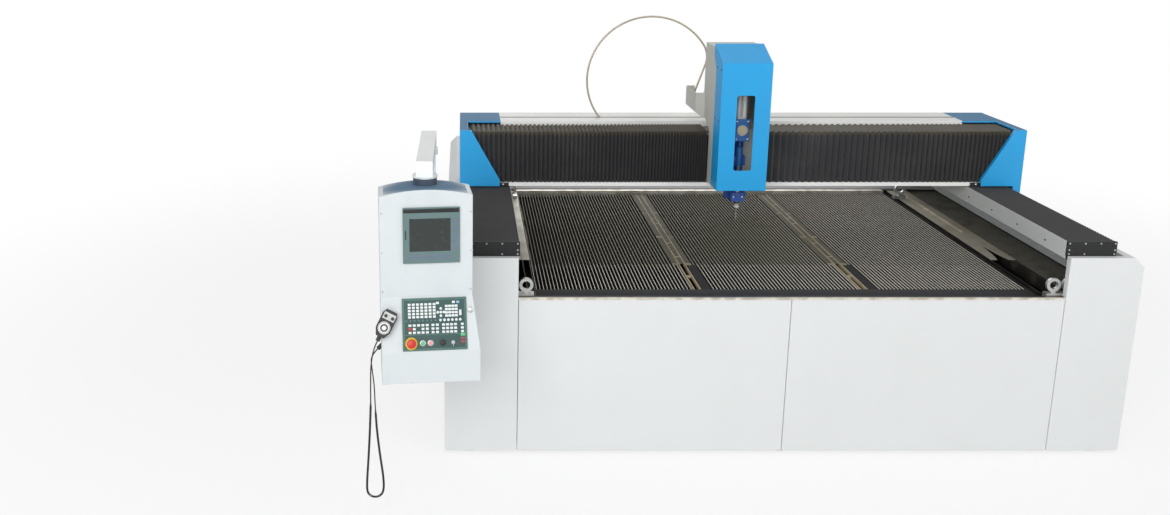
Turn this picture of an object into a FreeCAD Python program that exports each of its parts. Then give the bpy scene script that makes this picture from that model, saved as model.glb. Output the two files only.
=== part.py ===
import FreeCAD, Part
import math
import os

# Abrasive waterjet cutting machine with a bridge gantry over an open catcher tank.
# Millimetres. Origin on the floor under the middle of the machine's footprint.
# X runs across the machine, Y runs from the front to the back, Z is up.

os.makedirs("parts", exist_ok=True)
V = FreeCAD.Vector

# Running and seating clearances
RUN_GAP = 0.3
SIDE_GAP = 1.0
SADDLE_GAP = 5.0

# Footprint and front panels
WIDTH = 4180.0
DEPTH = 3450.0
PANEL_TOP = 1010.0
PANEL_GAP = 20.0
PANEL_T = 40.0
PANEL_JOINT = 3.0
HALF_W = WIDTH / 2
HALF_D = DEPTH / 2
PANEL_BACK = -HALF_D + PANEL_T

# Side housings: a full-length wall and a broad closing face at the front
WALL_W = 105.0
TOWER_W = 445.0
HOUSING_RISE = 265.0
HOUSING_CHAMFER = 60.0
SEAM_FROM_REAR = 680.0
SEAM_W = 4.0
HOUSING_TOP = PANEL_TOP + HOUSING_RISE
WALL_IN = HALF_W - WALL_W
TOWER_IN = HALF_W - TOWER_W

# Floor frame and levelling feet
FOOT_H = 60.0
FOOT_PAD_R = 60.0
FOOT_PAD_H = 15.0
FOOT_PAD_SIDES = 8
FOOT_STEM_R = 17.0
FOOT_STEM_SIDES = 6
FRAME_TUBE = 100.0
FRAME_TOP = FOOT_H + FRAME_TUBE
FRAME_REAR = HALF_D - PANEL_T

# Catcher tank with its rims, and the deck behind it
TANK_WALL = 8.0
TANK_LEN = 2490.0
RIM_T = 12.0
REAR_RIM_W = 45.0
REAR_RIM_DROP = 50.0
REAR_RIM_T = 4.0
DECK_T = 10.0
TANK_REAR = PANEL_BACK + TANK_LEN
TANK_FLOOR = FRAME_TOP + TANK_WALL
TANK_INNER_FRONT = PANEL_BACK + TANK_WALL
TANK_INNER_REAR = TANK_REAR - TANK_WALL
REAR_RIM_FRONT = TANK_INNER_REAR - REAR_RIM_W

# Slat field in three sections, with a bar under the ends of each row
SIDE_TROUGH_W = 455.0
FIELD_FRONT_GAP = 60.0
SLAT_DROP = 18.0
SLAT_H = 55.0
SLAT_T = 3.0
SLAT_PITCH = 23.0
SLAT_ROWS = 4
RACK_BAR_H = 35.0
RACK_BAR_T = 8.0
SECTION_GAP = 50.0
LADDER_RAIL_T = 8.0
LADDER_RAIL_H = 70.0
RUNG_PITCH = 240.0
RUNG_T = 10.0
LEG = 40.0
FIELD_HALF = WALL_IN - SIDE_TROUGH_W
FIELD_FRONT = PANEL_BACK + FIELD_FRONT_GAP
FIELD_REAR = REAR_RIM_FRONT - SADDLE_GAP
SLAT_TOP = PANEL_TOP - SLAT_DROP
SLAT_LOW = SLAT_TOP - SLAT_H
RACK_LOW = SLAT_LOW - RACK_BAR_H
LADDER_LOW = RACK_LOW - LADDER_RAIL_H

# Divider channels, trough rails, cover plates and side grates
DIVIDER_DROP = 10.0
DIVIDER_W = 50.0
DIVIDER_WALL = 5.0
COVER_W = 160.0
COVER_T = 4.0
COVER_FROM_FRONT = 720.0
COVER_HOOK = 90.0
COVER_SLIT = 315.0
COVER_BAR_W = 12.0
COVER_BAR_H = 14.0
COVER_BAR_LEN = 1000.0
TROUGH_RAIL_W = 30.0
TROUGH_STEP_W = 20.0
TROUGH_RAIL_H = 40.0
GRATE_BAR_T = 4.0
GRATE_BAR_H = 25.0
GRATE_BARS = 12
GRATE_TIES = 6
GRATE_TIE_T = 6.0
DIVIDER_TOP = PANEL_TOP - DIVIDER_DROP
DIVIDER_OUT = FIELD_HALF + DIVIDER_W
DIVIDER_LOW = RACK_LOW - LADDER_RAIL_T
GRATE_IN = DIVIDER_OUT + COVER_W
GRATE_OUT = WALL_IN - TANK_WALL
GRATE_LOW = DIVIDER_TOP - GRATE_BAR_H
TIE_LOW = GRATE_LOW - GRATE_TIE_T
TROUGH_RAIL_LOW = TIE_LOW - TROUGH_RAIL_H
COVER_FRONT = PANEL_BACK + COVER_FROM_FRONT

# Lifting eyes: a pair at each front corner and one at each rear corner
EYE_R = 43.0
EYE_BORE_R = 25.0
EYE_T = 20.0
EYE_BLOCK_H = 26.0
EYE_BLOCK_D = 45.0
EYE_PITCH = 95.0
EYE_SHANK_H = 12.0
EYE_SHANK_W = 24.0
EYE_FROM_TOWER = 50.0
EYE_FROM_REAR = 245.0
FRONT_EYE_X = TOWER_IN - EYE_FROM_TOWER
FRONT_EYE_Y = PANEL_BACK + RUN_GAP + EYE_BLOCK_D / 2
REAR_EYE_X = DIVIDER_OUT + COVER_T
REAR_EYE_Y = TANK_REAR - EYE_FROM_REAR

# Rails along both sides, under pleated tunnels
RAIL_BEAM_W = 235.0
RAIL_BEAM_H = 80.0
RAIL_BEAM_DROP = 3.0
RAIL_BEAM_WALL = 8.0
GUIDE_W = 45.0
GUIDE_H = 34.0
GUIDE_END_GAP = 35.0
RAIL_BOX_INSET = 50.0
RAIL_BOX_W = 295.0
RAIL_BOX_H = 92.0
RAIL_BOX_WALL = 16.0
RAIL_PLEATS = 30
RAIL_PLEAT_DEPTH = 14.0
GUARD_T = 4.0
GUARD_DROP = 17.0
GUARD_SEAT = 16.0
END_PLATE_T = 12.0
RAIL_BEAM_TOP = HOUSING_TOP - RAIL_BEAM_DROP
RAIL_BEAM_LOW = RAIL_BEAM_TOP - RAIL_BEAM_H
RAIL_BEAM_IN = WALL_IN - RAIL_BEAM_W
RAIL_BOX_OUT = WALL_IN - RAIL_BOX_INSET
RAIL_BOX_IN = RAIL_BOX_OUT - RAIL_BOX_W
RAIL_BOX_TOP = RAIL_BEAM_TOP + RAIL_BOX_H
GUIDE_X = WALL_IN - RAIL_BEAM_W / 2
GUIDE_TOP = RAIL_BEAM_TOP + GUIDE_H
BOX_FLOOR = RAIL_BEAM_TOP + GUARD_T
GUARD_IN = RAIL_BOX_IN - GUARD_T
GUARD_FOOT = RAIL_BEAM_IN + GUARD_SEAT

# Gantry: two trucks, a sill, a box beam and a top rail
GANTRY_FROM_FRONT = 1260.0
GANTRY_DEPTH = 635.0
TRUCK_GAP = 20.0
SILL_GAP = 7.0
SILL_T = 26.0
BEAM_SETBACK = 135.0
BEAM_H = 348.0
BEAM_WALL = 10.0
BEAM_GUIDE_H = 40.0
BEAM_GUIDE_T = 30.0
BEAM_GUIDE_INSET = 59.0
TOP_RAIL_H = 39.0
TOP_RAIL_W = 330.0
TOP_GROOVE_FROM_REAR = 185.0
TOP_GROOVE_W = 20.0
TOP_GROOVE_D = 14.0
GANTRY_FRONT = PANEL_BACK + GANTRY_FROM_FRONT
GANTRY_REAR = GANTRY_FRONT + GANTRY_DEPTH
SILL_BOTTOM = RAIL_BOX_TOP + SILL_GAP
SILL_TOP = SILL_BOTTOM + SILL_T
BEAM_TOP = SILL_TOP + BEAM_H
GANTRY_TOP = BEAM_TOP + TOP_RAIL_H
BEAM_FRONT = GANTRY_FRONT + BEAM_SETBACK
GUIDE_FACE = BEAM_FRONT - BEAM_GUIDE_T
BEAM_GUIDE_Z = (SILL_TOP + BEAM_GUIDE_INSET, BEAM_TOP - BEAM_GUIDE_INSET)
TOP_RAIL_FRONT = GANTRY_REAR - TOP_RAIL_W
TOP_GROOVE_Y = GANTRY_REAR - TOP_GROOVE_FROM_REAR

# Blue end caps of the gantry
CAP_INSET = 90.0
CAP_T = 12.0
CAP_PROUD = 30.0
CAP_TOP_W = 80.0
CAP_LOW_W = 285.0
CAP_KNEE_RISE = 23.0
CAP_BOTTOM_RISE = 5.0
CAP_SKIRT_W = 55.0
CAP_SKIRT_DROP = 61.0
CAP_NARROW_W = 60.0
CAP_WIDE_W = 300.0
CAP_WIDE_D = 340.0
CAP_HALF = HALF_W - CAP_INSET
CAP_FACE = GANTRY_FRONT - CAP_PROUD
CAP_BOTTOM = SILL_BOTTOM + CAP_BOTTOM_RISE
CAP_KNEE_Z = SILL_TOP + CAP_KNEE_RISE
CAP_SKIRT_Z = CAP_BOTTOM - CAP_SKIRT_DROP
CAP_TOP_IN = CAP_HALF - CAP_TOP_W
CAP_LOW_IN = CAP_HALF - CAP_LOW_W
CAP_SKIRT_IN = CAP_HALF - CAP_SKIRT_W
CAP_NARROW_IN = CAP_HALF - CAP_NARROW_W
CAP_WIDE_IN = CAP_HALF - CAP_WIDE_W
CAP_WIDE_Y = GANTRY_REAR - CAP_WIDE_D

# Pleated covers of the gantry beam
PLEAT_DEPTH = 34.0
BEAM_PLEATS = 32
SKIN_DROP = 9.0
SKIN_T = 22.0
PLEAT_DROP = 22.0
SKIN_TOP = GANTRY_TOP - SKIN_DROP
SKIN_REAR = CAP_WIDE_Y - RUN_GAP
PLEAT_TOP = GANTRY_TOP - PLEAT_DROP

# Carriage: a blue cover in front of a grey housing, on a saddle
CARRIAGE_W = 338.0
CARRIAGE_X = -69.0
COVER_REACH = 300.0
COVER_RISE = 18.0
COVER_H = 883.0
HOOD_RISE = 104.0
HOOD_D = 250.0
HOOD_SIDE_DROP = 82.0
COVER_SIDE_DROP = 90.0
COVER_SIDE_D = 180.0
SHEET_T = 6.0
WINDOW_W = 120.0
WINDOW_RISE = 144.0
WINDOW_H = 519.0
WINDOW_R = 14.0
HOUSING_BACK_GAP = 5.0
HOUSING_STEP_GAP = 10.0
HOUSING_SLANT = 75.0
HOUSING_STEP_D = 200.0
HOUSING_CAP_DROP = 21.0
SADDLE_INSET = 9.0
SADDLE_RISE = 23.0
SADDLE_TOP_DROP = 10.0
COVER_LEFT = CARRIAGE_X - CARRIAGE_W / 2
COVER_RIGHT = CARRIAGE_X + CARRIAGE_W / 2
COVER_FACE_Y = GANTRY_FRONT - COVER_REACH
COVER_REAR_Y = COVER_FACE_Y + COVER_SIDE_D
COVER_BOTTOM = SILL_TOP + COVER_RISE
HOOD_LOW_Z = COVER_BOTTOM + COVER_H
HOOD_TOP_Z = HOOD_LOW_Z + HOOD_RISE
HOOD_REAR_Y = COVER_FACE_Y + HOOD_D
HOOD_SIDE_Z = HOOD_TOP_Z - HOOD_SIDE_DROP
COVER_SIDE_Z = HOOD_SIDE_Z - COVER_SIDE_DROP
HOOD_SLOPE = HOOD_RISE / HOOD_D
WINDOW_LOW = COVER_BOTTOM + WINDOW_RISE
HOUSING_BACK_Y = GANTRY_FRONT - HOUSING_BACK_GAP
HOUSING_KNEE_Z = SKIN_TOP + HOUSING_STEP_GAP
HOUSING_SLANT_Z = HOUSING_KNEE_Z + HOUSING_SLANT
HOUSING_REAR_Y = GANTRY_FRONT + HOUSING_STEP_D
HOUSING_CAP_Z = HOOD_TOP_Z - HOUSING_CAP_DROP
SADDLE_BOTTOM = SILL_TOP + SADDLE_RISE
SADDLE_TOP = BEAM_TOP - SADDLE_TOP_DROP
SADDLE_REAR = BEAM_FRONT - SADDLE_GAP

# Hose bracket on the carriage's left side
BRACKET_W = 67.0
BRACKET_T = 4.0
BRACKET_RISE = 46.0
BRACKET_SLANT = 50.0
BRACKET_H = 190.0
BRACKET_NOTCH = 70.0
BRACKET_OVERLAP = 40.0
BRACKET_REACH = 285.0
BRACKET_LOW = GANTRY_TOP + BRACKET_RISE
BRACKET_LOW_OUT = BRACKET_LOW + BRACKET_SLANT
BRACKET_TOP = BRACKET_LOW + BRACKET_H
BRACKET_FRONT_Y = HOUSING_REAR_Y - BRACKET_OVERLAP
BRACKET_REAR_Y = HOUSING_REAR_Y + BRACKET_REACH

# Z axis: a fixed column with two round guides, and the slide in front of it
COLUMN_R = 18.0
COLUMN_GAP = 4.0
COLUMN_RISE = 15.0
COLUMN_TOP_DROP = 72.0
COLUMN_BASE_T = 30.0
SLIDE_T = 14.0
SLIDE_W = 90.0
COLUMN_REAR = HOUSING_BACK_Y - SHEET_T
COLUMN_BOTTOM = COVER_BOTTOM + COLUMN_RISE
COLUMN_TOP = HOOD_TOP_Z - COLUMN_TOP_DROP
SLIDE_REAR = COLUMN_REAR - COLUMN_BASE_T - COLUMN_R - RUN_GAP
SLIDE_FRONT = SLIDE_REAR - SLIDE_T

# Cutting head, stacked up from the tip of the nozzle
TIP_ABOVE_SLATS = 174.0
NOZZLE_LEN = 68.0
NOZZLE_TAPER = 17.0
NOZZLE_R = 4.5
NOZZLE_TIP_R = 2.5
CONE_H = 24.0
NUT_H = 28.0
NUT_R = 17.0
TUBE_R = 12.0
TUBE_FREE = 20.0
HEAD_BLOCK_H = 64.0
HEAD_BLOCK_W = 88.0
HEAD_BLOCK_D = 50.0
HEAD_PLATE_W = 156.0
HEAD_PLATE_T = 20.0
HEAD_PLATE_CHAMFER = 16.0
HEAD_REACH = 77.0
HEAD_OFFSET = 15.0
VALVE_RISE = 254.0
VALVE_H = 130.0
VALVE_R = 22.0
SLIDE_ABOVE_VALVE = 30.0
STEM_H = 52.0
STEM_R = 7.0
ACTUATOR_W = 98.0
ACTUATOR_H = 152.0
ACTUATOR_D = 80.0
ACTUATOR_WAIST = 6.0
ACTUATOR_DISC_R = 36.0
ACTUATOR_DISC_T = 8.0
ACTUATOR_FLANGE_H = 14.0
HEAD_TUBE_R = 18.0
HEAD_TUBE_H = 270.0
HEAD_TUBE_GAP = 1.0
HEAD_X = CARRIAGE_X + HEAD_OFFSET
HEAD_Y = SLIDE_FRONT - HEAD_REACH
NOZZLE_TIP = SLAT_TOP + TIP_ABOVE_SLATS
CONE_LOW = NOZZLE_TIP + NOZZLE_LEN
NUT_LOW = CONE_LOW + CONE_H
NUT_TOP = NUT_LOW + NUT_H
HEAD_BLOCK_LOW = NUT_TOP + TUBE_FREE
VALVE_LOW = HEAD_BLOCK_LOW + VALVE_RISE
STEM_LOW = VALVE_LOW + VALVE_H
SLIDE_TOP = STEM_LOW + SLIDE_ABOVE_VALVE
ACTUATOR_LOW = STEM_LOW + STEM_H
ACTUATOR_TOP = ACTUATOR_LOW + ACTUATOR_H

# Stiff high-pressure tube: a wide arc, a tighter arc and a straight tail into the hose bracket
TUBE_SIDES = 8
LOOP_TUBE_R = 7.0
LOOP_BESIDE_GROOVE = 5.0
LOOP_PAST_COVER = 67.8
LOOP_START_RISE = 4.95
LOOP_R = 467.0
LOOP_SMALL_R = 170.0
LOOP_START_DEG = 217.0
LOOP_TURN_DEG = 33.8
LOOP_END_DEG = -20.0
LOOP_TAIL = 290.0
LOOP_FOOT_R = 14.0
LOOP_BIG_REACH = (LOOP_R - LOOP_SMALL_R) * math.cos(math.radians(LOOP_TURN_DEG))
LOOP_X = COVER_LEFT + LOOP_PAST_COVER - LOOP_SMALL_R - LOOP_BIG_REACH
LOOP_Y = TOP_GROOVE_Y + LOOP_BESIDE_GROOVE
LOOP_Z = GANTRY_TOP + LOOP_START_RISE - LOOP_R * math.sin(math.radians(LOOP_START_DEG))

# Console, in its own axes with the swivel axis as origin
CONSOLE_YAW = 5.5
CONSOLE_LEFT = -255.0
CONSOLE_W = 503.0
DESK_FLARE = 35.0
CONSOLE_BACK = 80.0
CONSOLE_FACE = -140.0
DESK_D = 100.0
CONSOLE_LOW = 785.0
DESK_EDGE_H = 180.0
DESK_RISE = 280.0
CONSOLE_FACE_H = 567.0
CROWN_RISE = 33.0
SCREEN_INSET = 125.0
SCREEN_ABOVE_DESK = 193.0
SCREEN_W = 307.0
SCREEN_H = 312.0
SCREEN_T = 12.0
DISPLAY_W = 220.0
DISPLAY_H = 182.0
DISPLAY_INSET = 36.0
DISPLAY_RISE = 68.0
DISPLAY_D = 4.0
KEYS_INSET = 115.0
KEYS_W = 350.0
KEYS_MARGIN = 8.0
KEYS_T = 8.0
CONSOLE_RIGHT = CONSOLE_LEFT + CONSOLE_W
DESK_RIGHT = CONSOLE_RIGHT + DESK_FLARE
DESK_FRONT = CONSOLE_FACE - DESK_D
DESK_LOW = CONSOLE_LOW + DESK_EDGE_H
DESK_TOP = DESK_LOW + DESK_RISE
CONSOLE_SHOULDER = DESK_TOP + CONSOLE_FACE_H
CONSOLE_CROWN = CONSOLE_SHOULDER + CROWN_RISE
SCREEN_LEFT = CONSOLE_LEFT + SCREEN_INSET
SCREEN_LOW = DESK_TOP + SCREEN_ABOVE_DESK
KEYS_LEFT = CONSOLE_LEFT + KEYS_INSET
DESK_LEN = math.hypot(DESK_RISE, DESK_D)
DESK_TILT = math.degrees(math.atan2(DESK_D, DESK_RISE))

# Controls along the bottom of the keyboard panel: stop button, two buttons, a selector and a key
CONTROL_ROW = 40.0
CONTROL_LEFT = 46.0
ESTOP_R = 34.0
ESTOP_H = 12.0
ESTOP_HEAD_R = 25.0
ESTOP_HEAD_H = 18.0
BUTTON_R = 16.0
BUTTON_H = 9.0
BUTTON_X = (62.0, 104.0)
KNOB_R = 17.0
KNOB_H = 18.0
KNOB_X = 170.0
KEY_R = 11.0
KEY_H = 8.0
KEY_X = 226.0
KEY_BOW_W = 6.0
KEY_BOW_H = 16.0
KEY_BOW_OUT = 22.0

# Console post and arm
POST_GAP = 55.0
POST_W = 80.0
POST_FROM_FRONT = 255.0
POST_LOW = 420.0
POST_BRACKET_H = 140.0
POST_BRACKET_T = 12.0
POST_BRACKET_RISE = 100.0
POST_BRACKET_DROP = 255.0
COLLAR_R = 55.0
COLLAR_H = 40.0
PIN_R = 20.0
PIN_H = 60.0
PIN_FIT = 0.05
ARM_W = 90.0
ARM_WALL = 6.0
ARM_REACH = 665.0
ARM_ABOVE_CONSOLE = 50.0
ARM_OVERHANG = 55.0
ARM_BOSS_R = 32.0
SWIVEL_R = 65.0
FLANGE_R = 68.0
FLANGE_T = 12.0
POST_X = -HALF_W - POST_GAP - POST_W / 2
POST_Y = -HALF_D + POST_FROM_FRONT
POST_BRACKET_Z = (POST_LOW + POST_BRACKET_RISE, HOUSING_TOP - POST_BRACKET_DROP)
SWIVEL_Y = POST_Y - ARM_REACH
ARM_LOW = CONSOLE_CROWN + ARM_ABOVE_CONSOLE
ARM_TOP = ARM_LOW + ARM_W

# Hand pendant on the desk's left edge, with a dial, two selector knobs and its strain relief
PENDANT_W = 84.0
PENDANT_L = 150.0
PENDANT_T = 38.0
PENDANT_LEAN = 28.0
PENDANT_INSET = 26.0
PENDANT_UP = 160.0
PENDANT_TOP_CUT = 24.0
PENDANT_LOW_CUT = 38.0
PENDANT_FOOT_SHARE = 0.55
PENDANT_HEAD_SHARE = 0.7
PENDANT_DIAL_R = 31.0
PENDANT_DIAL_T = 12.0
PENDANT_DIAL_UP = 52.0
PENDANT_KNOB_R = 9.0
PENDANT_KNOB_X = 20.0
PENDANT_KNOB_DROP = 36.0
PENDANT_X = CONSOLE_LEFT + PENDANT_INSET

# Pendant cord with its strain relief and the gland on the console's left side
CORD_R = 7.0
GLAND_R = 12.0
GLAND_L = 26.0
GLAND_Y = -205.0
GLAND_Z = 1000.0

# Route of the cord: down from the pendant, round a long loop and back up to the gland
CORD_ROUTE = [
    (-2458, -2410, 1000), (-2474, -2412, 908), (-2478, -2407, 795), (-2480, -2401, 665), (-2488, -2400, 510),
    (-2498, -2399, 355), (-2509, -2397, 218), (-2511, -2396, 138), (-2484, -2395, 110), (-2446, -2393, 110),
    (-2419, -2392, 138), (-2417, -2391, 218), (-2437, -2388, 370), (-2452, -2385, 525), (-2458, -2381, 660),
    (-2461, -2377, 780), (-2474, -2371, 880), (-2477, -2369, 942),
]


def box(x0, x1, y0, y1, z0, z1):
    return Part.makeBox(x1 - x0, y1 - y0, z1 - z0, V(x0, y0, z0))


def prism(points, direction):
    wire = Part.makePolygon(points + [points[0]])
    return Part.Face(wire).extrude(direction)


def extrude_x(points, x0, x1):
    return prism([V(x0, y, z) for y, z in points], V(x1 - x0, 0, 0))


def extrude_y(points, y0, y1):
    return prism([V(x, y0, z) for x, z in points], V(0, y1 - y0, 0))


def extrude_z(points, z0, z1):
    return prism([V(x, y, z0) for x, y in points], V(0, 0, z1 - z0))


def rod_z(x, y, z0, z1, radius):
    return Part.makeCylinder(radius, z1 - z0, V(x, y, z0), V(0, 0, 1))


def rod_y(x, z, y0, y1, radius):
    return Part.makeCylinder(radius, y1 - y0, V(x, y0, z), V(0, 1, 0))


def sided_rod_z(x, y, z0, z1, radius, sides):
    angles = [2 * math.pi * (index + 0.5) / sides for index in range(sides)]
    return extrude_z([(x + radius * math.cos(a), y + radius * math.sin(a)) for a in angles], z0, z1)


def join(shapes):
    return shapes[0].multiFuse(shapes[1:]).removeSplitter()


def group(shapes):
    return Part.Compound(shapes)


def mirror_x(shape):
    return shape.mirror(V(0, 0, 0), V(1, 0, 0))


def both_sides(shape):
    return group([shape, mirror_x(shape)])


def save(name, shape):
    shape.exportStep("parts/" + name + ".step")


# Tube of a few flat sides along a path, with the sectional area of a round one
def tube_along(path, start, heading, radius):
    step = 2 * math.pi / TUBE_SIDES
    corner_r = radius * math.sqrt(math.pi / (TUBE_SIDES / 2 * math.sin(step)))
    across = heading.cross(V(0, 1, 0))
    across.normalize()
    up = heading.cross(across)
    up.normalize()
    corners = []
    for index in range(TUBE_SIDES):
        angle = index * step
        corners.append(start + across * (corner_r * math.cos(angle)) + up * (corner_r * math.sin(angle)))
    section = Part.makePolygon(corners + [corners[0]])
    return path.makePipeShell([section], True, False)


# Floor frame of welded tube, with a member under the middle of the machine
def base_frame():
    pieces = []
    for y in (PANEL_BACK, -FRAME_TUBE / 2, FRAME_REAR - FRAME_TUBE):
        pieces.append(box(-WALL_IN, WALL_IN, y, y + FRAME_TUBE, FOOT_H, FRAME_TOP))
    for x in (-WALL_IN, -FRAME_TUBE / 2, WALL_IN - FRAME_TUBE):
        pieces.append(box(x, x + FRAME_TUBE, PANEL_BACK, FRAME_REAR, FOOT_H, FRAME_TOP))
    return join(pieces)


def levelling_feet():
    reach_x = WALL_IN - FRAME_TUBE / 2
    reach_y = FRAME_REAR - FRAME_TUBE / 2
    feet = []
    for x in (-reach_x, 0.0, reach_x):
        for y in (-reach_y, 0.0, reach_y):
            pad = sided_rod_z(x, y, 0.0, FOOT_PAD_H, FOOT_PAD_R, FOOT_PAD_SIDES)
            stem = sided_rod_z(x, y, FOOT_PAD_H, FOOT_H, FOOT_STEM_R, FOOT_STEM_SIDES)
            feet.append(join([pad, stem]))
    return group(feet)


# Side housing: a full-length wall with a chamfered top, and a broad closing face at the front
def right_side_housing():
    def section(inner_x):
        return [(inner_x, PANEL_GAP), (HALF_W, PANEL_GAP), (HALF_W, HOUSING_TOP - HOUSING_CHAMFER),
                (HALF_W - HOUSING_CHAMFER, HOUSING_TOP), (inner_x, HOUSING_TOP)]
    wall = extrude_y(section(WALL_IN), -HALF_D, HALF_D)
    tower = extrude_y(section(TOWER_IN), -HALF_D, PANEL_BACK)
    housing = join([wall, tower])
    seam_y = HALF_D - SEAM_FROM_REAR
    seam = box(HALF_W - SEAM_W, HALF_W, seam_y, seam_y + SEAM_W, PANEL_GAP, HOUSING_TOP)
    slot = box(WALL_IN, HALF_W, seam_y, seam_y + SEAM_W, HOUSING_TOP - SEAM_W, HOUSING_TOP)
    return housing.cut(seam).cut(slot)


def right_front_panel():
    left = PANEL_JOINT / 2
    return box(left, TOWER_IN - PANEL_JOINT, -HALF_D, PANEL_BACK, PANEL_GAP, PANEL_TOP)


def rear_panel():
    return box(-WALL_IN, WALL_IN, FRAME_REAR, HALF_D, PANEL_GAP, PANEL_TOP)


# Deck that covers the space between the tank and the rear panel
def rear_deck():
    return box(-WALL_IN, WALL_IN, TANK_REAR, HALF_D, PANEL_TOP, PANEL_TOP + DECK_T)


def catcher_tank():
    outer = box(-WALL_IN, WALL_IN, PANEL_BACK, TANK_REAR, FRAME_TOP, PANEL_TOP)
    inner = box(-WALL_IN + TANK_WALL, WALL_IN - TANK_WALL, TANK_INNER_FRONT, TANK_INNER_REAR,
                TANK_FLOOR, PANEL_TOP)
    return outer.cut(inner)


# Bright lip along the front and the turned-down rim along the back of the cutting field
def tank_rims():
    front = box(-TOWER_IN, TOWER_IN, -HALF_D, PANEL_BACK, PANEL_TOP, PANEL_TOP + RIM_T)
    low = PANEL_TOP - REAR_RIM_DROP
    flange_back = REAR_RIM_FRONT + REAR_RIM_T
    rear = extrude_x([(REAR_RIM_FRONT, low), (flange_back, low), (flange_back, PANEL_TOP),
                      (TANK_REAR, PANEL_TOP), (TANK_REAR, PANEL_TOP + REAR_RIM_T),
                      (REAR_RIM_FRONT, PANEL_TOP + REAR_RIM_T)], -FIELD_HALF, FIELD_HALF)
    return group([front, rear])


# The three sections of the slat field and the open gaps between them
def section_edges():
    third = (2 * FIELD_HALF - 2 * SECTION_GAP) / 3
    lefts = [-FIELD_HALF + index * (third + SECTION_GAP) for index in range(3)]
    return [(left, left + third) for left in lefts]


def gap_edges():
    sections = section_edges()
    return [(sections[0][1], sections[1][0]), (sections[1][1], sections[2][0])]


# Thin slats on edge, evenly spread over each section
def slat_racks():
    slats = []
    for x0, x1 in section_edges():
        count = int((x1 - x0 - SLAT_T) / SLAT_PITCH) + 1
        start = (x0 + x1 - (count - 1) * SLAT_PITCH - SLAT_T) / 2
        for index in range(count):
            x = start + index * SLAT_PITCH
            slats.append(box(x, x + SLAT_T, FIELD_FRONT, FIELD_REAR, SLAT_LOW, SLAT_TOP))
    return group(slats)


def even_places(first, last, count):
    return [first + index * (last - first) / (count - 1) for index in range(count)]


# Bars under the slats at the ends of each row, and ties under the bars of the side grates
def cross_bars():
    bars = []
    for x0, x1 in section_edges():
        for y in even_places(FIELD_FRONT, FIELD_REAR - RACK_BAR_T, SLAT_ROWS + 1):
            bars.append(box(x0, x1, y, y + RACK_BAR_T, RACK_LOW, SLAT_LOW))
    for y in even_places(TANK_INNER_FRONT, TANK_INNER_REAR - GRATE_TIE_T, GRATE_TIES):
        tie = box(GRATE_IN, GRATE_OUT, y, y + GRATE_TIE_T, TIE_LOW, GRATE_LOW)
        bars += [tie, mirror_x(tie)]
    return group(bars)


# Ladder beams under the gaps between the sections; the ends of the rack bars rest on their rails
def slat_supports():
    ladders = []
    for left, right in gap_edges():
        pieces = []
        for x in (left - LADDER_RAIL_T, right):
            pieces.append(box(x, x + LADDER_RAIL_T, FIELD_FRONT, FIELD_REAR, LADDER_LOW, RACK_LOW))
        rungs = int((FIELD_REAR - FIELD_FRONT) / RUNG_PITCH) + 1
        for y in even_places(FIELD_FRONT, FIELD_REAR - RUNG_T, rungs):
            pieces.append(box(left, right, y, y + RUNG_T, LADDER_LOW, RACK_LOW))
        ladders.append(join(pieces))
    return group(ladders)


# Channel between the slat field and the side trough, with a ledge that carries the rack bars
def right_divider():
    inner = FIELD_HALF + DIVIDER_WALL
    outer = DIVIDER_OUT - DIVIDER_WALL
    floor = DIVIDER_LOW + DIVIDER_WALL
    channel = extrude_y([(FIELD_HALF, DIVIDER_LOW), (DIVIDER_OUT, DIVIDER_LOW), (DIVIDER_OUT, DIVIDER_TOP),
                         (outer, DIVIDER_TOP), (outer, floor), (inner, floor), (inner, DIVIDER_TOP),
                         (FIELD_HALF, DIVIDER_TOP)], TANK_INNER_FRONT, TANK_INNER_REAR)
    ledge = box(FIELD_HALF - LEG, inner, FIELD_FRONT, FIELD_REAR, DIVIDER_LOW, RACK_LOW)
    return join([channel, ledge])


# Stepped rail under the outer edge of the cover plate and the inner edge of the side grate,
# and the ledge on the tank wall under the grate's other edge
def right_trough_rail():
    inner = GRATE_IN - TROUGH_RAIL_W
    outer = GRATE_IN + TROUGH_STEP_W
    rail = extrude_y([(inner, TROUGH_RAIL_LOW), (outer, TROUGH_RAIL_LOW), (outer, TIE_LOW),
                      (GRATE_IN, TIE_LOW), (GRATE_IN, DIVIDER_TOP), (inner, DIVIDER_TOP)],
                     TANK_INNER_FRONT, TANK_INNER_REAR)
    ledge = box(GRATE_OUT - TROUGH_STEP_W, GRATE_OUT, TANK_INNER_FRONT, TANK_INNER_REAR,
                TIE_LOW - LADDER_RAIL_T, TIE_LOW)
    return group([rail, ledge])


# Legs that stand on the tank floor under the ladders, dividers and trough rails,
# and posts on the floor frame under the rear deck
def support_legs():
    tops = [((left + right) / 2, LADDER_LOW) for left, right in gap_edges()]
    for side in (-1, 1):
        tops.append((side * (FIELD_HALF + DIVIDER_OUT) / 2, DIVIDER_LOW))
        tops.append((side * (GRATE_IN + (TROUGH_STEP_W - TROUGH_RAIL_W) / 2), TROUGH_RAIL_LOW))
    legs = []
    for x, top in tops:
        for y in even_places(FIELD_FRONT, FIELD_REAR - LEG, 3):
            legs.append(box(x - LEG / 2, x + LEG / 2, y, y + LEG, TANK_FLOOR, top))
    deck_y = (TANK_REAR + HALF_D - LEG) / 2
    for x in (-WALL_IN, -FRAME_TUBE / 2, WALL_IN - FRAME_TUBE):
        legs.append(box(x, x + FRAME_TUBE, deck_y, deck_y + LEG, FRAME_TOP, PANEL_TOP))
    return group(legs)


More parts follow.
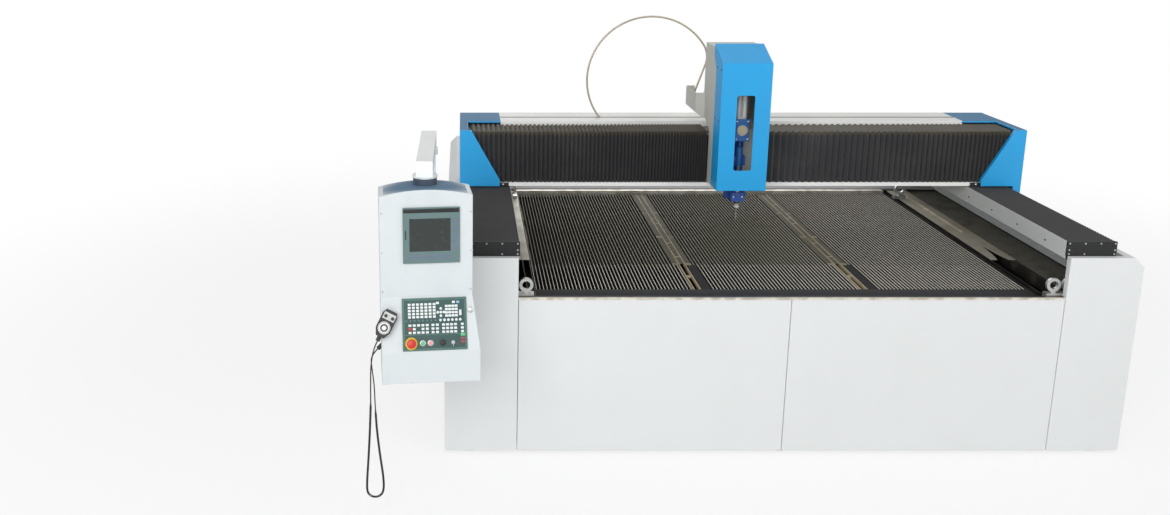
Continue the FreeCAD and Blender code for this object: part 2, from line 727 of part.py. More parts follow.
# Stainless plate over the trough, with a raised bar; its front end is slit into two hooked strips
def right_trough_cover():
    low = DIVIDER_TOP
    top = low + COVER_T
    left = DIVIDER_OUT - DIVIDER_WALL
    quarter = (GRATE_IN - left) / 4
    middle = left + 2 * quarter
    plate = box(left, GRATE_IN, COVER_FRONT, TANK_INNER_REAR, low, top)
    hook_y = COVER_FRONT + COVER_HOOK
    notch = extrude_z([(left + quarter, COVER_FRONT), (middle - quarter / 2, hook_y),
                       (middle, COVER_FRONT + COVER_SLIT), (middle + quarter / 2, hook_y),
                       (GRATE_IN - quarter, COVER_FRONT)], low, top)
    bar_rear = TANK_INNER_REAR - COVER_W
    bar = box(middle, middle + COVER_BAR_W, bar_rear - COVER_BAR_LEN, bar_rear, top, top + COVER_BAR_H)
    return join([plate.cut(notch), bar])


# Fine grate of thin bars between the cover plate and the tank wall
def right_side_grate():
    bars = []
    for x in even_places(GRATE_IN, GRATE_OUT - GRATE_BAR_T, GRATE_BARS):
        bars.append(box(x, x + GRATE_BAR_T, TANK_INNER_FRONT, TANK_INNER_REAR, GRATE_LOW, DIVIDER_TOP))
    return group(bars)


def lifting_eye(x, y, base_z):
    half_w = EYE_PITCH / 2 - RUN_GAP
    half_d = EYE_BLOCK_D / 2
    block_top = base_z + EYE_BLOCK_H
    block = box(x - half_w, x + half_w, y - half_d, y + half_d, base_z, block_top)
    shank = box(x - EYE_SHANK_W / 2, x + EYE_SHANK_W / 2, y - EYE_T / 2, y + EYE_T / 2,
                block_top, block_top + EYE_SHANK_H)
    centre_z = block_top + EYE_SHANK_H / 2 + EYE_R
    disc = rod_y(x, centre_z, y - EYE_T / 2, y + EYE_T / 2, EYE_R)
    bore = rod_y(x, centre_z, y - EYE_T, y + EYE_T, EYE_BORE_R)
    return join([block, shank, disc]).cut(bore)


# The front pair stands on a bar that lies on the divider and the trough rail
def right_lifting_eyes():
    bar = box(FRONT_EYE_X - EYE_PITCH / 2, FRONT_EYE_X + EYE_PITCH * 3 / 2, TANK_INNER_FRONT,
              FRONT_EYE_Y + EYE_BLOCK_D / 2, DIVIDER_TOP, PANEL_TOP)
    return group([bar, lifting_eye(FRONT_EYE_X, FRONT_EYE_Y, PANEL_TOP),
                  lifting_eye(FRONT_EYE_X + EYE_PITCH, FRONT_EYE_Y, PANEL_TOP),
                  lifting_eye(REAR_EYE_X, REAR_EYE_Y, DIVIDER_TOP + COVER_T)])


def right_rail_beam():
    wall = RAIL_BEAM_WALL
    outer = box(RAIL_BEAM_IN, WALL_IN, PANEL_BACK, FRAME_REAR, RAIL_BEAM_LOW, RAIL_BEAM_TOP)
    inner = box(RAIL_BEAM_IN + wall, WALL_IN - wall, PANEL_BACK, FRAME_REAR,
                RAIL_BEAM_LOW + wall, RAIL_BEAM_TOP - wall)
    return outer.cut(inner)


def right_guide():
    return box(GUIDE_X - GUIDE_W / 2, GUIDE_X + GUIDE_W / 2, PANEL_BACK + GUIDE_END_GAP,
               FRAME_REAR - GUIDE_END_GAP, RAIL_BEAM_TOP, GUIDE_TOP)


# Grey sheet guard along the inner side of the rail, with a flange on the rail beam
def right_rail_guard():
    low = RAIL_BEAM_TOP - GUARD_DROP
    section = [(GUARD_IN, low), (RAIL_BOX_IN, low), (RAIL_BOX_IN, RAIL_BEAM_TOP), (GUARD_FOOT, RAIL_BEAM_TOP),
               (GUARD_FOOT, BOX_FLOOR), (RAIL_BOX_IN, BOX_FLOOR), (RAIL_BOX_IN, RAIL_BOX_TOP),
               (GUARD_IN, RAIL_BOX_TOP)]
    return extrude_y(section, PANEL_BACK + END_PLATE_T, FRAME_REAR - END_PLATE_T)


def right_end_plates():
    front = box(GUARD_IN, RAIL_BOX_OUT, PANEL_BACK, PANEL_BACK + END_PLATE_T, RAIL_BEAM_TOP, RAIL_BOX_TOP)
    rear = box(GUARD_IN, RAIL_BOX_OUT, FRAME_REAR - END_PLATE_T, FRAME_REAR, RAIL_BEAM_TOP, RAIL_BOX_TOP)
    return group([front, rear])


# Pleated cover of a rail: a tunnel with a toothed roof
def right_rail_bellows(y0, y1):
    step = (y1 - y0) / RAIL_PLEATS
    valley = RAIL_BOX_TOP - RAIL_PLEAT_DEPTH
    points = [(y0, BOX_FLOOR)]
    for index in range(RAIL_PLEATS):
        points.append((y0 + index * step, valley))
        points.append((y0 + (index + 0.5) * step, RAIL_BOX_TOP))
    points += [(y1, valley), (y1, BOX_FLOOR)]
    outer = extrude_x(points, RAIL_BOX_IN, RAIL_BOX_OUT)
    inner = box(RAIL_BOX_IN + RAIL_BOX_WALL, RAIL_BOX_OUT - RAIL_BOX_WALL, y0, y1,
                BOX_FLOOR, valley - RAIL_PLEAT_DEPTH)
    return outer.cut(inner)


# Saddles that run on the guides and carry the gantry
def right_truck():
    low = RAIL_BEAM_TOP + TRUCK_GAP
    reach = GUIDE_W / 2 + SIDE_GAP
    block = box(RAIL_BOX_IN + SADDLE_GAP, RAIL_BOX_OUT, GANTRY_FRONT, GANTRY_REAR, low, SILL_BOTTOM)
    groove = box(GUIDE_X - reach, GUIDE_X + reach, GANTRY_FRONT, GANTRY_REAR, low, GUIDE_TOP + RUN_GAP)
    return block.cut(groove)


def gantry_sill():
    half = CAP_HALF - CAP_T
    return box(-half, half, GANTRY_FRONT, GANTRY_REAR - CAP_T, SILL_BOTTOM, SILL_TOP)


# Box beam with the two guides that carry the carriage
def gantry_beam():
    half = CAP_HALF - CAP_T
    rear = GANTRY_REAR - CAP_T
    outer = box(-half, half, BEAM_FRONT, rear, SILL_TOP, BEAM_TOP)
    inner = box(-half, half, BEAM_FRONT + BEAM_WALL, rear - BEAM_WALL,
                SILL_TOP + BEAM_WALL, BEAM_TOP - BEAM_WALL)
    pieces = [outer.cut(inner)]
    for z in BEAM_GUIDE_Z:
        pieces.append(box(-CAP_TOP_IN, CAP_TOP_IN, GUIDE_FACE, BEAM_FRONT,
                          z - BEAM_GUIDE_H / 2, z + BEAM_GUIDE_H / 2))
    return join(pieces)


def beam_top_rail():
    groove_front = TOP_GROOVE_Y - TOP_GROOVE_W / 2
    groove_rear = TOP_GROOVE_Y + TOP_GROOVE_W / 2
    groove_floor = GANTRY_TOP - TOP_GROOVE_D
    section = [(TOP_RAIL_FRONT, BEAM_TOP), (GANTRY_REAR, BEAM_TOP), (GANTRY_REAR, GANTRY_TOP),
               (groove_rear, GANTRY_TOP), (groove_rear, groove_floor), (groove_front, groove_floor),
               (groove_front, GANTRY_TOP), (TOP_RAIL_FRONT, GANTRY_TOP)]
    return extrude_x(section, -CAP_WIDE_IN, CAP_WIDE_IN)


# Folded blue cap: sloped front edge with a return, side skirt, stepped top and a rear face
def right_end_cap():
    front = extrude_y([(CAP_LOW_IN, CAP_BOTTOM), (CAP_SKIRT_IN, CAP_BOTTOM), (CAP_SKIRT_IN, CAP_SKIRT_Z),
                       (CAP_HALF, CAP_SKIRT_Z), (CAP_HALF, GANTRY_TOP), (CAP_TOP_IN, GANTRY_TOP),
                       (CAP_LOW_IN, CAP_KNEE_Z)], CAP_FACE, CAP_FACE + CAP_T)
    lip = extrude_y([(CAP_LOW_IN, SILL_TOP), (CAP_LOW_IN + CAP_T, SILL_TOP), (CAP_LOW_IN + CAP_T, CAP_KNEE_Z),
                     (CAP_TOP_IN + CAP_T, GANTRY_TOP), (CAP_TOP_IN, GANTRY_TOP), (CAP_LOW_IN, CAP_KNEE_Z)],
                    CAP_FACE + CAP_T, GANTRY_FRONT)
    side = extrude_x([(CAP_FACE, CAP_SKIRT_Z), (GANTRY_REAR, CAP_SKIRT_Z), (GANTRY_REAR, GANTRY_TOP),
                      (CAP_FACE, GANTRY_TOP)], CAP_HALF - CAP_T, CAP_HALF)
    top = extrude_z([(CAP_NARROW_IN, CAP_FACE), (CAP_HALF, CAP_FACE), (CAP_HALF, GANTRY_REAR),
                     (CAP_WIDE_IN, GANTRY_REAR), (CAP_WIDE_IN, CAP_WIDE_Y), (CAP_NARROW_IN, CAP_WIDE_Y)],
                    GANTRY_TOP - CAP_T, GANTRY_TOP)
    rear = box(CAP_WIDE_IN, CAP_HALF, GANTRY_REAR - CAP_T, GANTRY_REAR, CAP_BOTTOM, BEAM_TOP)
    return join([front, lip, side, top, rear])


# Pleated cover of the beam between x0 and x1: toothed front and a plain roof
def beam_bellows(x0, x1):
    step = (x1 - x0) / BEAM_PLEATS
    valley = GANTRY_FRONT + PLEAT_DEPTH
    points = [(x0, valley)]
    for index in range(BEAM_PLEATS):
        points.append((x0 + (index + 0.5) * step, GANTRY_FRONT))
        points.append((x0 + (index + 1) * step, valley))
    back = valley + PLEAT_DEPTH / 2
    points += [(x1, back), (x0, back)]
    face = extrude_z(points, SILL_TOP, PLEAT_TOP)
    roof = box(x0, x1, valley, SKIN_REAR, SKIN_TOP - SKIN_T, SKIN_TOP)
    return join([face, roof])


# Blue cover: a hood with a sloped roof, open at the back and bottom, with a tall rounded window
def carriage_cover():
    outline = [(COVER_FACE_Y, COVER_BOTTOM), (COVER_FACE_Y, HOOD_LOW_Z), (HOOD_REAR_Y, HOOD_TOP_Z),
               (HOOD_REAR_Y, HOOD_SIDE_Z), (COVER_REAR_Y, COVER_SIDE_Z), (COVER_REAR_Y, COVER_BOTTOM)]
    shell = extrude_x(outline, COVER_LEFT, COVER_RIGHT)
    roof_drop = SHEET_T * math.hypot(1, HOOD_SLOPE)
    inner_face = COVER_FACE_Y + SHEET_T
    inner = [(inner_face, COVER_BOTTOM), (inner_face, HOOD_LOW_Z + HOOD_SLOPE * SHEET_T - roof_drop),
             (HOOD_REAR_Y, HOOD_TOP_Z - roof_drop), (HOOD_REAR_Y, COVER_BOTTOM)]
    cavity = extrude_x(inner, COVER_LEFT + SHEET_T, COVER_RIGHT - SHEET_T)
    half = WINDOW_W / 2
    window = box(CARRIAGE_X - half, CARRIAGE_X + half, COVER_FACE_Y - SHEET_T, COVER_FACE_Y + 2 * SHEET_T,
                 WINDOW_LOW, WINDOW_LOW + WINDOW_H)
    corners = [edge for edge in window.Edges
               if abs(edge.Vertexes[0].Y - edge.Vertexes[1].Y) > SHEET_T]
    window = window.makeFillet(WINDOW_R, corners)
    return shell.cut(cavity).cut(window)


# Grey sheet housing behind the blue cover, open at the bottom and towards the cover
def carriage_housing():
    outline = [(COVER_REAR_Y, COVER_BOTTOM), (HOUSING_BACK_Y, COVER_BOTTOM),
               (HOUSING_BACK_Y, HOUSING_KNEE_Z), (HOUSING_REAR_Y, HOUSING_SLANT_Z),
               (HOUSING_REAR_Y, HOUSING_CAP_Z), (HOOD_REAR_Y, HOUSING_CAP_Z),
               (HOOD_REAR_Y, HOOD_SIDE_Z), (COVER_REAR_Y, COVER_SIDE_Z)]
    shell = extrude_x(outline, COVER_LEFT, COVER_RIGHT)
    inner_back = HOUSING_BACK_Y - SHEET_T
    inner_rear = HOUSING_REAR_Y - SHEET_T
    inner_top = HOUSING_CAP_Z - SHEET_T
    inner = [(COVER_REAR_Y, COVER_BOTTOM), (inner_back, COVER_BOTTOM), (inner_back, HOUSING_KNEE_Z + SHEET_T),
             (inner_rear, HOUSING_SLANT_Z + SHEET_T), (inner_rear, inner_top), (HOOD_REAR_Y, inner_top),
             (HOOD_REAR_Y, HOOD_SIDE_Z), (COVER_REAR_Y, COVER_SIDE_Z)]
    cavity = extrude_x(inner, COVER_LEFT + SHEET_T, COVER_RIGHT - SHEET_T)
    return shell.cut(cavity)


# Saddle between the two pleated covers; it grips the beam's guides
def carriage_saddle():
    left = COVER_LEFT + SADDLE_INSET
    right = COVER_RIGHT - SADDLE_INSET
    reach = BEAM_GUIDE_H / 2 + SIDE_GAP
    block = box(left, right, HOUSING_BACK_Y, SADDLE_REAR, SADDLE_BOTTOM, SADDLE_TOP)
    for z in BEAM_GUIDE_Z:
        block = block.cut(box(left, right, GUIDE_FACE - RUN_GAP, SADDLE_REAR, z - reach, z + reach))
    return block


# Open sheet channel on the carriage's left side that the high-pressure tube drops into
def hose_bracket():
    right = COVER_LEFT
    left = right - BRACKET_W
    t = BRACKET_T
    outer = extrude_y([(left, BRACKET_LOW_OUT), (right, BRACKET_LOW), (right, BRACKET_TOP),
                       (left, BRACKET_TOP)], BRACKET_FRONT_Y, BRACKET_REAR_Y)
    inner = extrude_y([(left + t, BRACKET_LOW_OUT + t), (right - t, BRACKET_LOW + t),
                       (right - t, BRACKET_TOP), (left + t, BRACKET_TOP)],
                      BRACKET_FRONT_Y + t, BRACKET_REAR_Y - t)
    notch = box(right - t, right, HOUSING_REAR_Y, BRACKET_REAR_Y, BRACKET_TOP - BRACKET_NOTCH, BRACKET_TOP)
    return outer.cut(inner).cut(notch)


# Fixed column of the Z axis: two round guides on a base plate
def z_column():
    pieces = [box(HEAD_X - SLIDE_W / 2, HEAD_X + SLIDE_W / 2, COLUMN_REAR - COLUMN_BASE_T, COLUMN_REAR,
                  COLUMN_BOTTOM, COLUMN_TOP)]
    offset = COLUMN_R + COLUMN_GAP / 2
    for x in (HEAD_X - offset, HEAD_X + offset):
        pieces.append(rod_z(x, COLUMN_REAR - COLUMN_BASE_T, COLUMN_BOTTOM, COLUMN_TOP, COLUMN_R))
    return join(pieces)


# Moving slide plate with the blue clamp block that holds the cutting head
def head_slide():
    block_top = HEAD_BLOCK_LOW + HEAD_BLOCK_H
    clamp_top = VALVE_LOW + HEAD_BLOCK_H
    plate_front = SLIDE_FRONT - HEAD_PLATE_T
    half_block = HEAD_BLOCK_W / 2
    slide = box(HEAD_X - SLIDE_W / 2, HEAD_X + SLIDE_W / 2, SLIDE_FRONT, SLIDE_REAR,
                HEAD_BLOCK_LOW, SLIDE_TOP)
    plate = box(HEAD_X - HEAD_PLATE_W / 2, HEAD_X + HEAD_PLATE_W / 2, plate_front, SLIDE_FRONT,
                HEAD_BLOCK_LOW, block_top)
    corners = [edge for edge in plate.Edges
               if abs(edge.Vertexes[0].Y - edge.Vertexes[1].Y) > HEAD_PLATE_T / 2]
    plate = plate.makeChamfer(HEAD_PLATE_CHAMFER, corners)
    block = box(HEAD_X - half_block, HEAD_X + half_block, HEAD_Y - HEAD_BLOCK_D / 2, plate_front,
                HEAD_BLOCK_LOW, block_top)
    clamp = box(HEAD_X - half_block, HEAD_X + half_block, HEAD_Y, SLIDE_FRONT, VALVE_LOW, clamp_top)
    hole = rod_z(HEAD_X, HEAD_Y, HEAD_BLOCK_LOW, block_top, TUBE_R)
    seat = rod_z(HEAD_X, HEAD_Y, VALVE_LOW, clamp_top, VALVE_R)
    return join([slide, plate, block, clamp]).cut(hole).cut(seat)


# Square on-off actuator with its front disc, the stem and the valve below it
def valve_actuator():
    half = ACTUATOR_W / 2
    waist = half - ACTUATOR_WAIST
    front = HEAD_Y - ACTUATOR_D / 2
    rear = HEAD_Y + ACTUATOR_D / 2
    low_flange_top = ACTUATOR_LOW + ACTUATOR_FLANGE_H
    top_flange_low = ACTUATOR_TOP - ACTUATOR_FLANGE_H
    body = box(HEAD_X - waist, HEAD_X + waist, front, rear, ACTUATOR_LOW, ACTUATOR_TOP)
    low_flange = box(HEAD_X - half, HEAD_X + half, front, rear, ACTUATOR_LOW, low_flange_top)
    top_flange = box(HEAD_X - half, HEAD_X + half, front, rear, top_flange_low, ACTUATOR_TOP)
    disc = rod_y(HEAD_X, (ACTUATOR_LOW + ACTUATOR_TOP) / 2, front - ACTUATOR_DISC_T, front, ACTUATOR_DISC_R)
    stem = rod_z(HEAD_X, HEAD_Y, STEM_LOW, ACTUATOR_LOW, STEM_R)
    valve = rod_z(HEAD_X, HEAD_Y, VALVE_LOW, STEM_LOW, VALVE_R)
    bracket = box(HEAD_X - SLIDE_W / 2, HEAD_X + SLIDE_W / 2, rear, SLIDE_REAR, SLIDE_TOP, ACTUATOR_TOP)
    return join([body, low_flange, top_flange, disc, stem, valve, bracket])


# Two white tubes that stand on the actuator, seen through the window
def head_tubes():
    offset = HEAD_TUBE_R + HEAD_TUBE_GAP / 2
    front = HEAD_Y - HEAD_TUBE_R
    foot = box(HEAD_X - offset, HEAD_X + offset, front, HEAD_Y + HEAD_TUBE_R, ACTUATOR_TOP,
               ACTUATOR_TOP + ACTUATOR_FLANGE_H)
    tubes = [rod_z(x, HEAD_Y, ACTUATOR_TOP, ACTUATOR_TOP + HEAD_TUBE_H, HEAD_TUBE_R)
             for x in (HEAD_X - offset, HEAD_X + offset)]
    return join([foot] + tubes)


# Tube, nut, cone and nozzle turned about the cutting axis
def cutting_nozzle():
    profile = [(0, VALVE_LOW), (TUBE_R, VALVE_LOW), (TUBE_R, NUT_TOP), (NUT_R, NUT_TOP), (NUT_R, NUT_LOW),
               (TUBE_R, NUT_LOW), (NOZZLE_R, CONE_LOW), (NOZZLE_R, NOZZLE_TIP + NOZZLE_TAPER),
               (NOZZLE_TIP_R, NOZZLE_TIP), (0, NOZZLE_TIP)]
    points = [V(HEAD_X + r, HEAD_Y, z) for r, z in profile]
    face = Part.Face(Part.makePolygon(points + [points[0]]))
    return face.revolve(V(HEAD_X, HEAD_Y, 0), V(0, 0, 1), 360)


def on_circle(cx, cz, radius, degrees):
    angle = math.radians(degrees)
    return V(cx + radius * math.cos(angle), LOOP_Y, cz + radius * math.sin(angle))


def high_pressure_loop():
    start = on_circle(LOOP_X, LOOP_Z, LOOP_R, LOOP_START_DEG)
    top = on_circle(LOOP_X, LOOP_Z, LOOP_R, (LOOP_START_DEG + LOOP_TURN_DEG) / 2)
    turn = on_circle(LOOP_X, LOOP_Z, LOOP_R, LOOP_TURN_DEG)
    small = on_circle(LOOP_X, LOOP_Z, LOOP_R - LOOP_SMALL_R, LOOP_TURN_DEG)
    middle = on_circle(small.x, small.z, LOOP_SMALL_R, (LOOP_TURN_DEG + LOOP_END_DEG) / 2)
    end = on_circle(small.x, small.z, LOOP_SMALL_R, LOOP_END_DEG)
    tail = end + (on_circle(end.x, end.z, LOOP_TAIL, LOOP_END_DEG - 90) - end)
    path = Part.Wire([Part.Arc(start, top, turn).toShape(), Part.Arc(turn, middle, end).toShape(),
                      Part.LineSegment(end, tail).toShape()])
    heading = on_circle(start.x, start.z, 1, LOOP_START_DEG - 90) - start
    tube = tube_along(path, start, heading, LOOP_TUBE_R)
    foot = rod_z(start.x, LOOP_Y, GANTRY_TOP, start.z + LOOP_TUBE_R / 2, LOOP_FOOT_R)
    return join([tube, foot])


# Post bolted to the left side housing, with the pivot on which the arm turns
def console_post():
    half = POST_W / 2
    seat = ARM_LOW - RUN_GAP
    pieces = [box(POST_X - half, POST_X + half, POST_Y - half, POST_Y + half, POST_LOW, seat - COLLAR_H),
              rod_z(POST_X, POST_Y, seat - COLLAR_H, seat, COLLAR_R),
              rod_z(POST_X, POST_Y, seat, ARM_LOW + PIN_H, PIN_R)]
    for z in POST_BRACKET_Z:
        pieces.append(box(POST_X + half, -HALF_W, POST_Y - half, POST_Y + half, z, z + POST_BRACKET_H))
        pieces.append(box(-HALF_W - POST_BRACKET_T, -HALF_W, POST_Y - POST_W, POST_Y + POST_W,
                          z - POST_BRACKET_T, z + POST_BRACKET_H + POST_BRACKET_T))
    return join(pieces)


# Square tube arm with the flange of the console's swivel under its front end
def console_arm():
    half = ARM_W / 2
    inner_half = half - ARM_WALL
    front = SWIVEL_Y - FLANGE_R - ARM_WALL
    rear = POST_Y + ARM_OVERHANG
    outer = box(POST_X - half, POST_X + half, front, rear, ARM_LOW, ARM_TOP)
    inner = box(POST_X - inner_half, POST_X + inner_half, front + ARM_WALL, rear - ARM_WALL,
                ARM_LOW + ARM_WALL, ARM_TOP - ARM_WALL)
    boss = rod_z(POST_X, POST_Y, ARM_LOW, ARM_TOP - ARM_WALL, ARM_BOSS_R)
    flange = rod_z(POST_X, SWIVEL_Y, ARM_LOW - FLANGE_T, ARM_LOW, FLANGE_R)
    hole = rod_z(POST_X, POST_Y, ARM_LOW, ARM_LOW + PIN_H + RUN_GAP, PIN_R + PIN_FIT)
    return join([outer.cut(inner), boss, flange]).cut(hole)


# The console's pieces are drawn square to its own axes and then turned and moved to the swivel
def place_console(shape):
    placed = shape.copy()
    placed.rotate(V(0, 0, 0), V(0, 0, 1), CONSOLE_YAW)
    placed.translate(V(POST_X, SWIVEL_Y, 0))
    return placed


def console_point(x, y, z):
    turn = FreeCAD.Rotation(V(0, 0, 1), CONSOLE_YAW)
    return turn.multVec(V(x, y, z)) + V(POST_X, SWIVEL_Y, 0)


def console_housing():
    side = extrude_x([(CONSOLE_BACK, CONSOLE_LOW), (CONSOLE_BACK, CONSOLE_CROWN),
                      (CONSOLE_FACE, CONSOLE_CROWN), (CONSOLE_FACE, DESK_TOP), (DESK_FRONT, DESK_LOW),
                      (DESK_FRONT, CONSOLE_LOW)], CONSOLE_LEFT, DESK_RIGHT)
    crown = V((CONSOLE_LEFT + CONSOLE_RIGHT) / 2, DESK_FRONT, CONSOLE_CROWN)
    left = V(CONSOLE_LEFT, DESK_FRONT, CONSOLE_SHOULDER)
    right = V(CONSOLE_RIGHT, DESK_FRONT, CONSOLE_SHOULDER)
    corners = [V(CONSOLE_RIGHT, DESK_FRONT, DESK_TOP), V(DESK_RIGHT, DESK_FRONT, DESK_LOW),
               V(DESK_RIGHT, DESK_FRONT, CONSOLE_LOW), V(CONSOLE_LEFT, DESK_FRONT, CONSOLE_LOW)]
    sides = Part.makePolygon([right] + corners + [left])
    outline = Part.Wire([Part.Arc(left, crown, right).toShape()] + sides.Edges)
    front = Part.Face(outline).extrude(V(0, CONSOLE_BACK - DESK_FRONT, 0))
    return place_console(side.common(front))


# Swivel drum from the curved top of the housing up to the arm's flange
def console_swivel():
    top = ARM_LOW - FLANGE_T - RUN_GAP
    drum = Part.makeCylinder(SWIVEL_R, top - CONSOLE_SHOULDER, V(0, 0, CONSOLE_SHOULDER), V(0, 0, 1))
    return place_console(drum).cut(console_housing())


def screen_unit():
    left = SCREEN_LEFT + DISPLAY_INSET
    low = SCREEN_LOW + DISPLAY_RISE
    face = CONSOLE_FACE - SCREEN_T
    bezel = box(SCREEN_LEFT, SCREEN_LEFT + SCREEN_W, face, CONSOLE_FACE, SCREEN_LOW, SCREEN_LOW + SCREEN_H)
    display = box(left, left + DISPLAY_W, face, face + DISPLAY_D, low, low + DISPLAY_H)
    return place_console(bezel.cut(display))


# Pieces on the sloping desk are drawn upright on the plane y = 0 with z up the slope
def place_on_desk(shape):
    placed = shape.copy()
    placed.rotate(V(0, 0, 0), V(1, 0, 0), -DESK_TILT)
    placed.translate(V(0, DESK_FRONT, DESK_LOW))
    return place_console(placed)


def keyboard_panel():
    plate = box(KEYS_LEFT, KEYS_LEFT + KEYS_W, -KEYS_T, 0, KEYS_MARGIN, DESK_LEN - KEYS_MARGIN)
    return place_on_desk(plate)


def desk_disc(x, z, radius, out, height):
    return rod_y(x, z, -out - height, -out, radius)


def console_controls():
    row = KEYS_MARGIN + CONTROL_ROW
    first = KEYS_LEFT + CONTROL_LEFT
    stop = join([desk_disc(first, row, ESTOP_R, KEYS_T, ESTOP_H),
                 desk_disc(first, row, ESTOP_HEAD_R, KEYS_T + ESTOP_H, ESTOP_HEAD_H)])
    buttons = [desk_disc(first + x, row, BUTTON_R, KEYS_T, BUTTON_H) for x in BUTTON_X]
    knob = desk_disc(first + KNOB_X, row, KNOB_R, KEYS_T, KNOB_H)
    key_out = KEYS_T + KEY_H
    bow = box(first + KEY_X - KEY_BOW_W / 2, first + KEY_X + KEY_BOW_W / 2, -key_out - KEY_BOW_OUT, -key_out,
              row - KEY_BOW_H / 2, row + KEY_BOW_H / 2)
    key = join([desk_disc(first + KEY_X, row, KEY_R, KEYS_T, KEY_H), bow])
    return group([place_on_desk(piece) for piece in [stop, knob, key] + buttons])


def place_pendant(shape):
    placed = shape.copy()
    placed.rotate(V(0, 0, 0), V(0, 1, 0), PENDANT_LEAN)
    placed.translate(V(PENDANT_X, 0, PENDANT_UP))
    return place_on_desk(placed)


# Pendant body leaning on the desk's left edge, with its dial, two knobs and strain relief
def pendant_body():
    half = PENDANT_W / 2
    low = -PENDANT_L / 2
    foot = half * PENDANT_FOOT_SHARE
    head = half * PENDANT_HEAD_SHARE
    outline = [(-foot, low), (foot, low), (half, low + PENDANT_LOW_CUT), (half, -low - PENDANT_TOP_CUT),
               (head, -low), (-head, -low), (-half, -low - PENDANT_TOP_CUT), (-half, low + PENDANT_LOW_CUT)]
    body = extrude_y(outline, -PENDANT_T, 0)
    dial = desk_disc(0, low + PENDANT_DIAL_UP, PENDANT_DIAL_R, PENDANT_T, PENDANT_DIAL_T)
    knobs = [desk_disc(x, -low - PENDANT_KNOB_DROP, PENDANT_KNOB_R, PENDANT_T, PENDANT_DIAL_T)
             for x in (-PENDANT_KNOB_X, PENDANT_KNOB_X)]
    relief = Part.makeCylinder(GLAND_R, GLAND_L, V(0, -PENDANT_T / 2, low - GLAND_L), V(0, 0, 1))
    return place_pendant(join([body, dial, relief] + knobs))


# Gland on the console's left side that points out and down at 45 degrees
def cord_gland():
    wall = V(CONSOLE_LEFT, GLAND_Y, GLAND_Z)
    gland = Part.makeCylinder(GLAND_R, GLAND_L + GLAND_R, wall + V(GLAND_R, 0, GLAND_R) * math.sqrt(0.5),
                              V(-1, 0, -1))
    return place_console(gland).cut(console_housing())


def pendant_exit():
    lean = math.radians(PENDANT_LEAN)
    reach = PENDANT_L / 2 + GLAND_L
    tilt = FreeCAD.Rotation(V(1, 0, 0), -DESK_TILT)
    on_desk = V(PENDANT_X - reach * math.sin(lean), -PENDANT_T / 2, PENDANT_UP - reach * math.cos(lean))
    point = tilt.multVec(on_desk) + V(0, DESK_FRONT, DESK_LOW)
    return console_point(point.x, point.y, point.z)


def gland_exit():
    drop = GLAND_L * math.sqrt(0.5)
    return console_point(CONSOLE_LEFT - drop, GLAND_Y, GLAND_Z - drop)


# Straight runs joined by arcs, each as large as its two runs allow
def pendant_cord():
    points = [pendant_exit()] + [V(*point) for point in CORD_ROUTE] + [gland_exit()]
    edges = []
    radii = []
    cursor = points[0]
    for before, corner, after in zip(points, points[1:], points[2:]):
        into = corner - before
        out = after - corner
        cut = 0.45 * min(into.Length, out.Length)
        into.normalize()
        out.normalize()
        half_turn = into.getAngle(out) / 2
        radius = cut / math.tan(half_turn)
        radii.append(round(radius))
        first = corner - into * cut
        last = corner + out * cut
        inward = out - into
        inward.normalize()
        middle = corner + inward * (radius / math.cos(half_turn) - radius)
        edges.append(Part.LineSegment(cursor, first).toShape())
        edges.append(Part.Arc(first, middle, last).toShape())
        cursor = last
    edges.append(Part.LineSegment(cursor, points[-1]).toShape())
    path = Part.Wire(edges)
    tube = tube_along(path, points[0], points[1] - points[0], CORD_R)
    expected = math.pi * CORD_R ** 2 * path.Length
    print("cord length", round(path.Length), "radii", radii, "volume ratio", round(tube.Volume / expected, 4))
    return tube


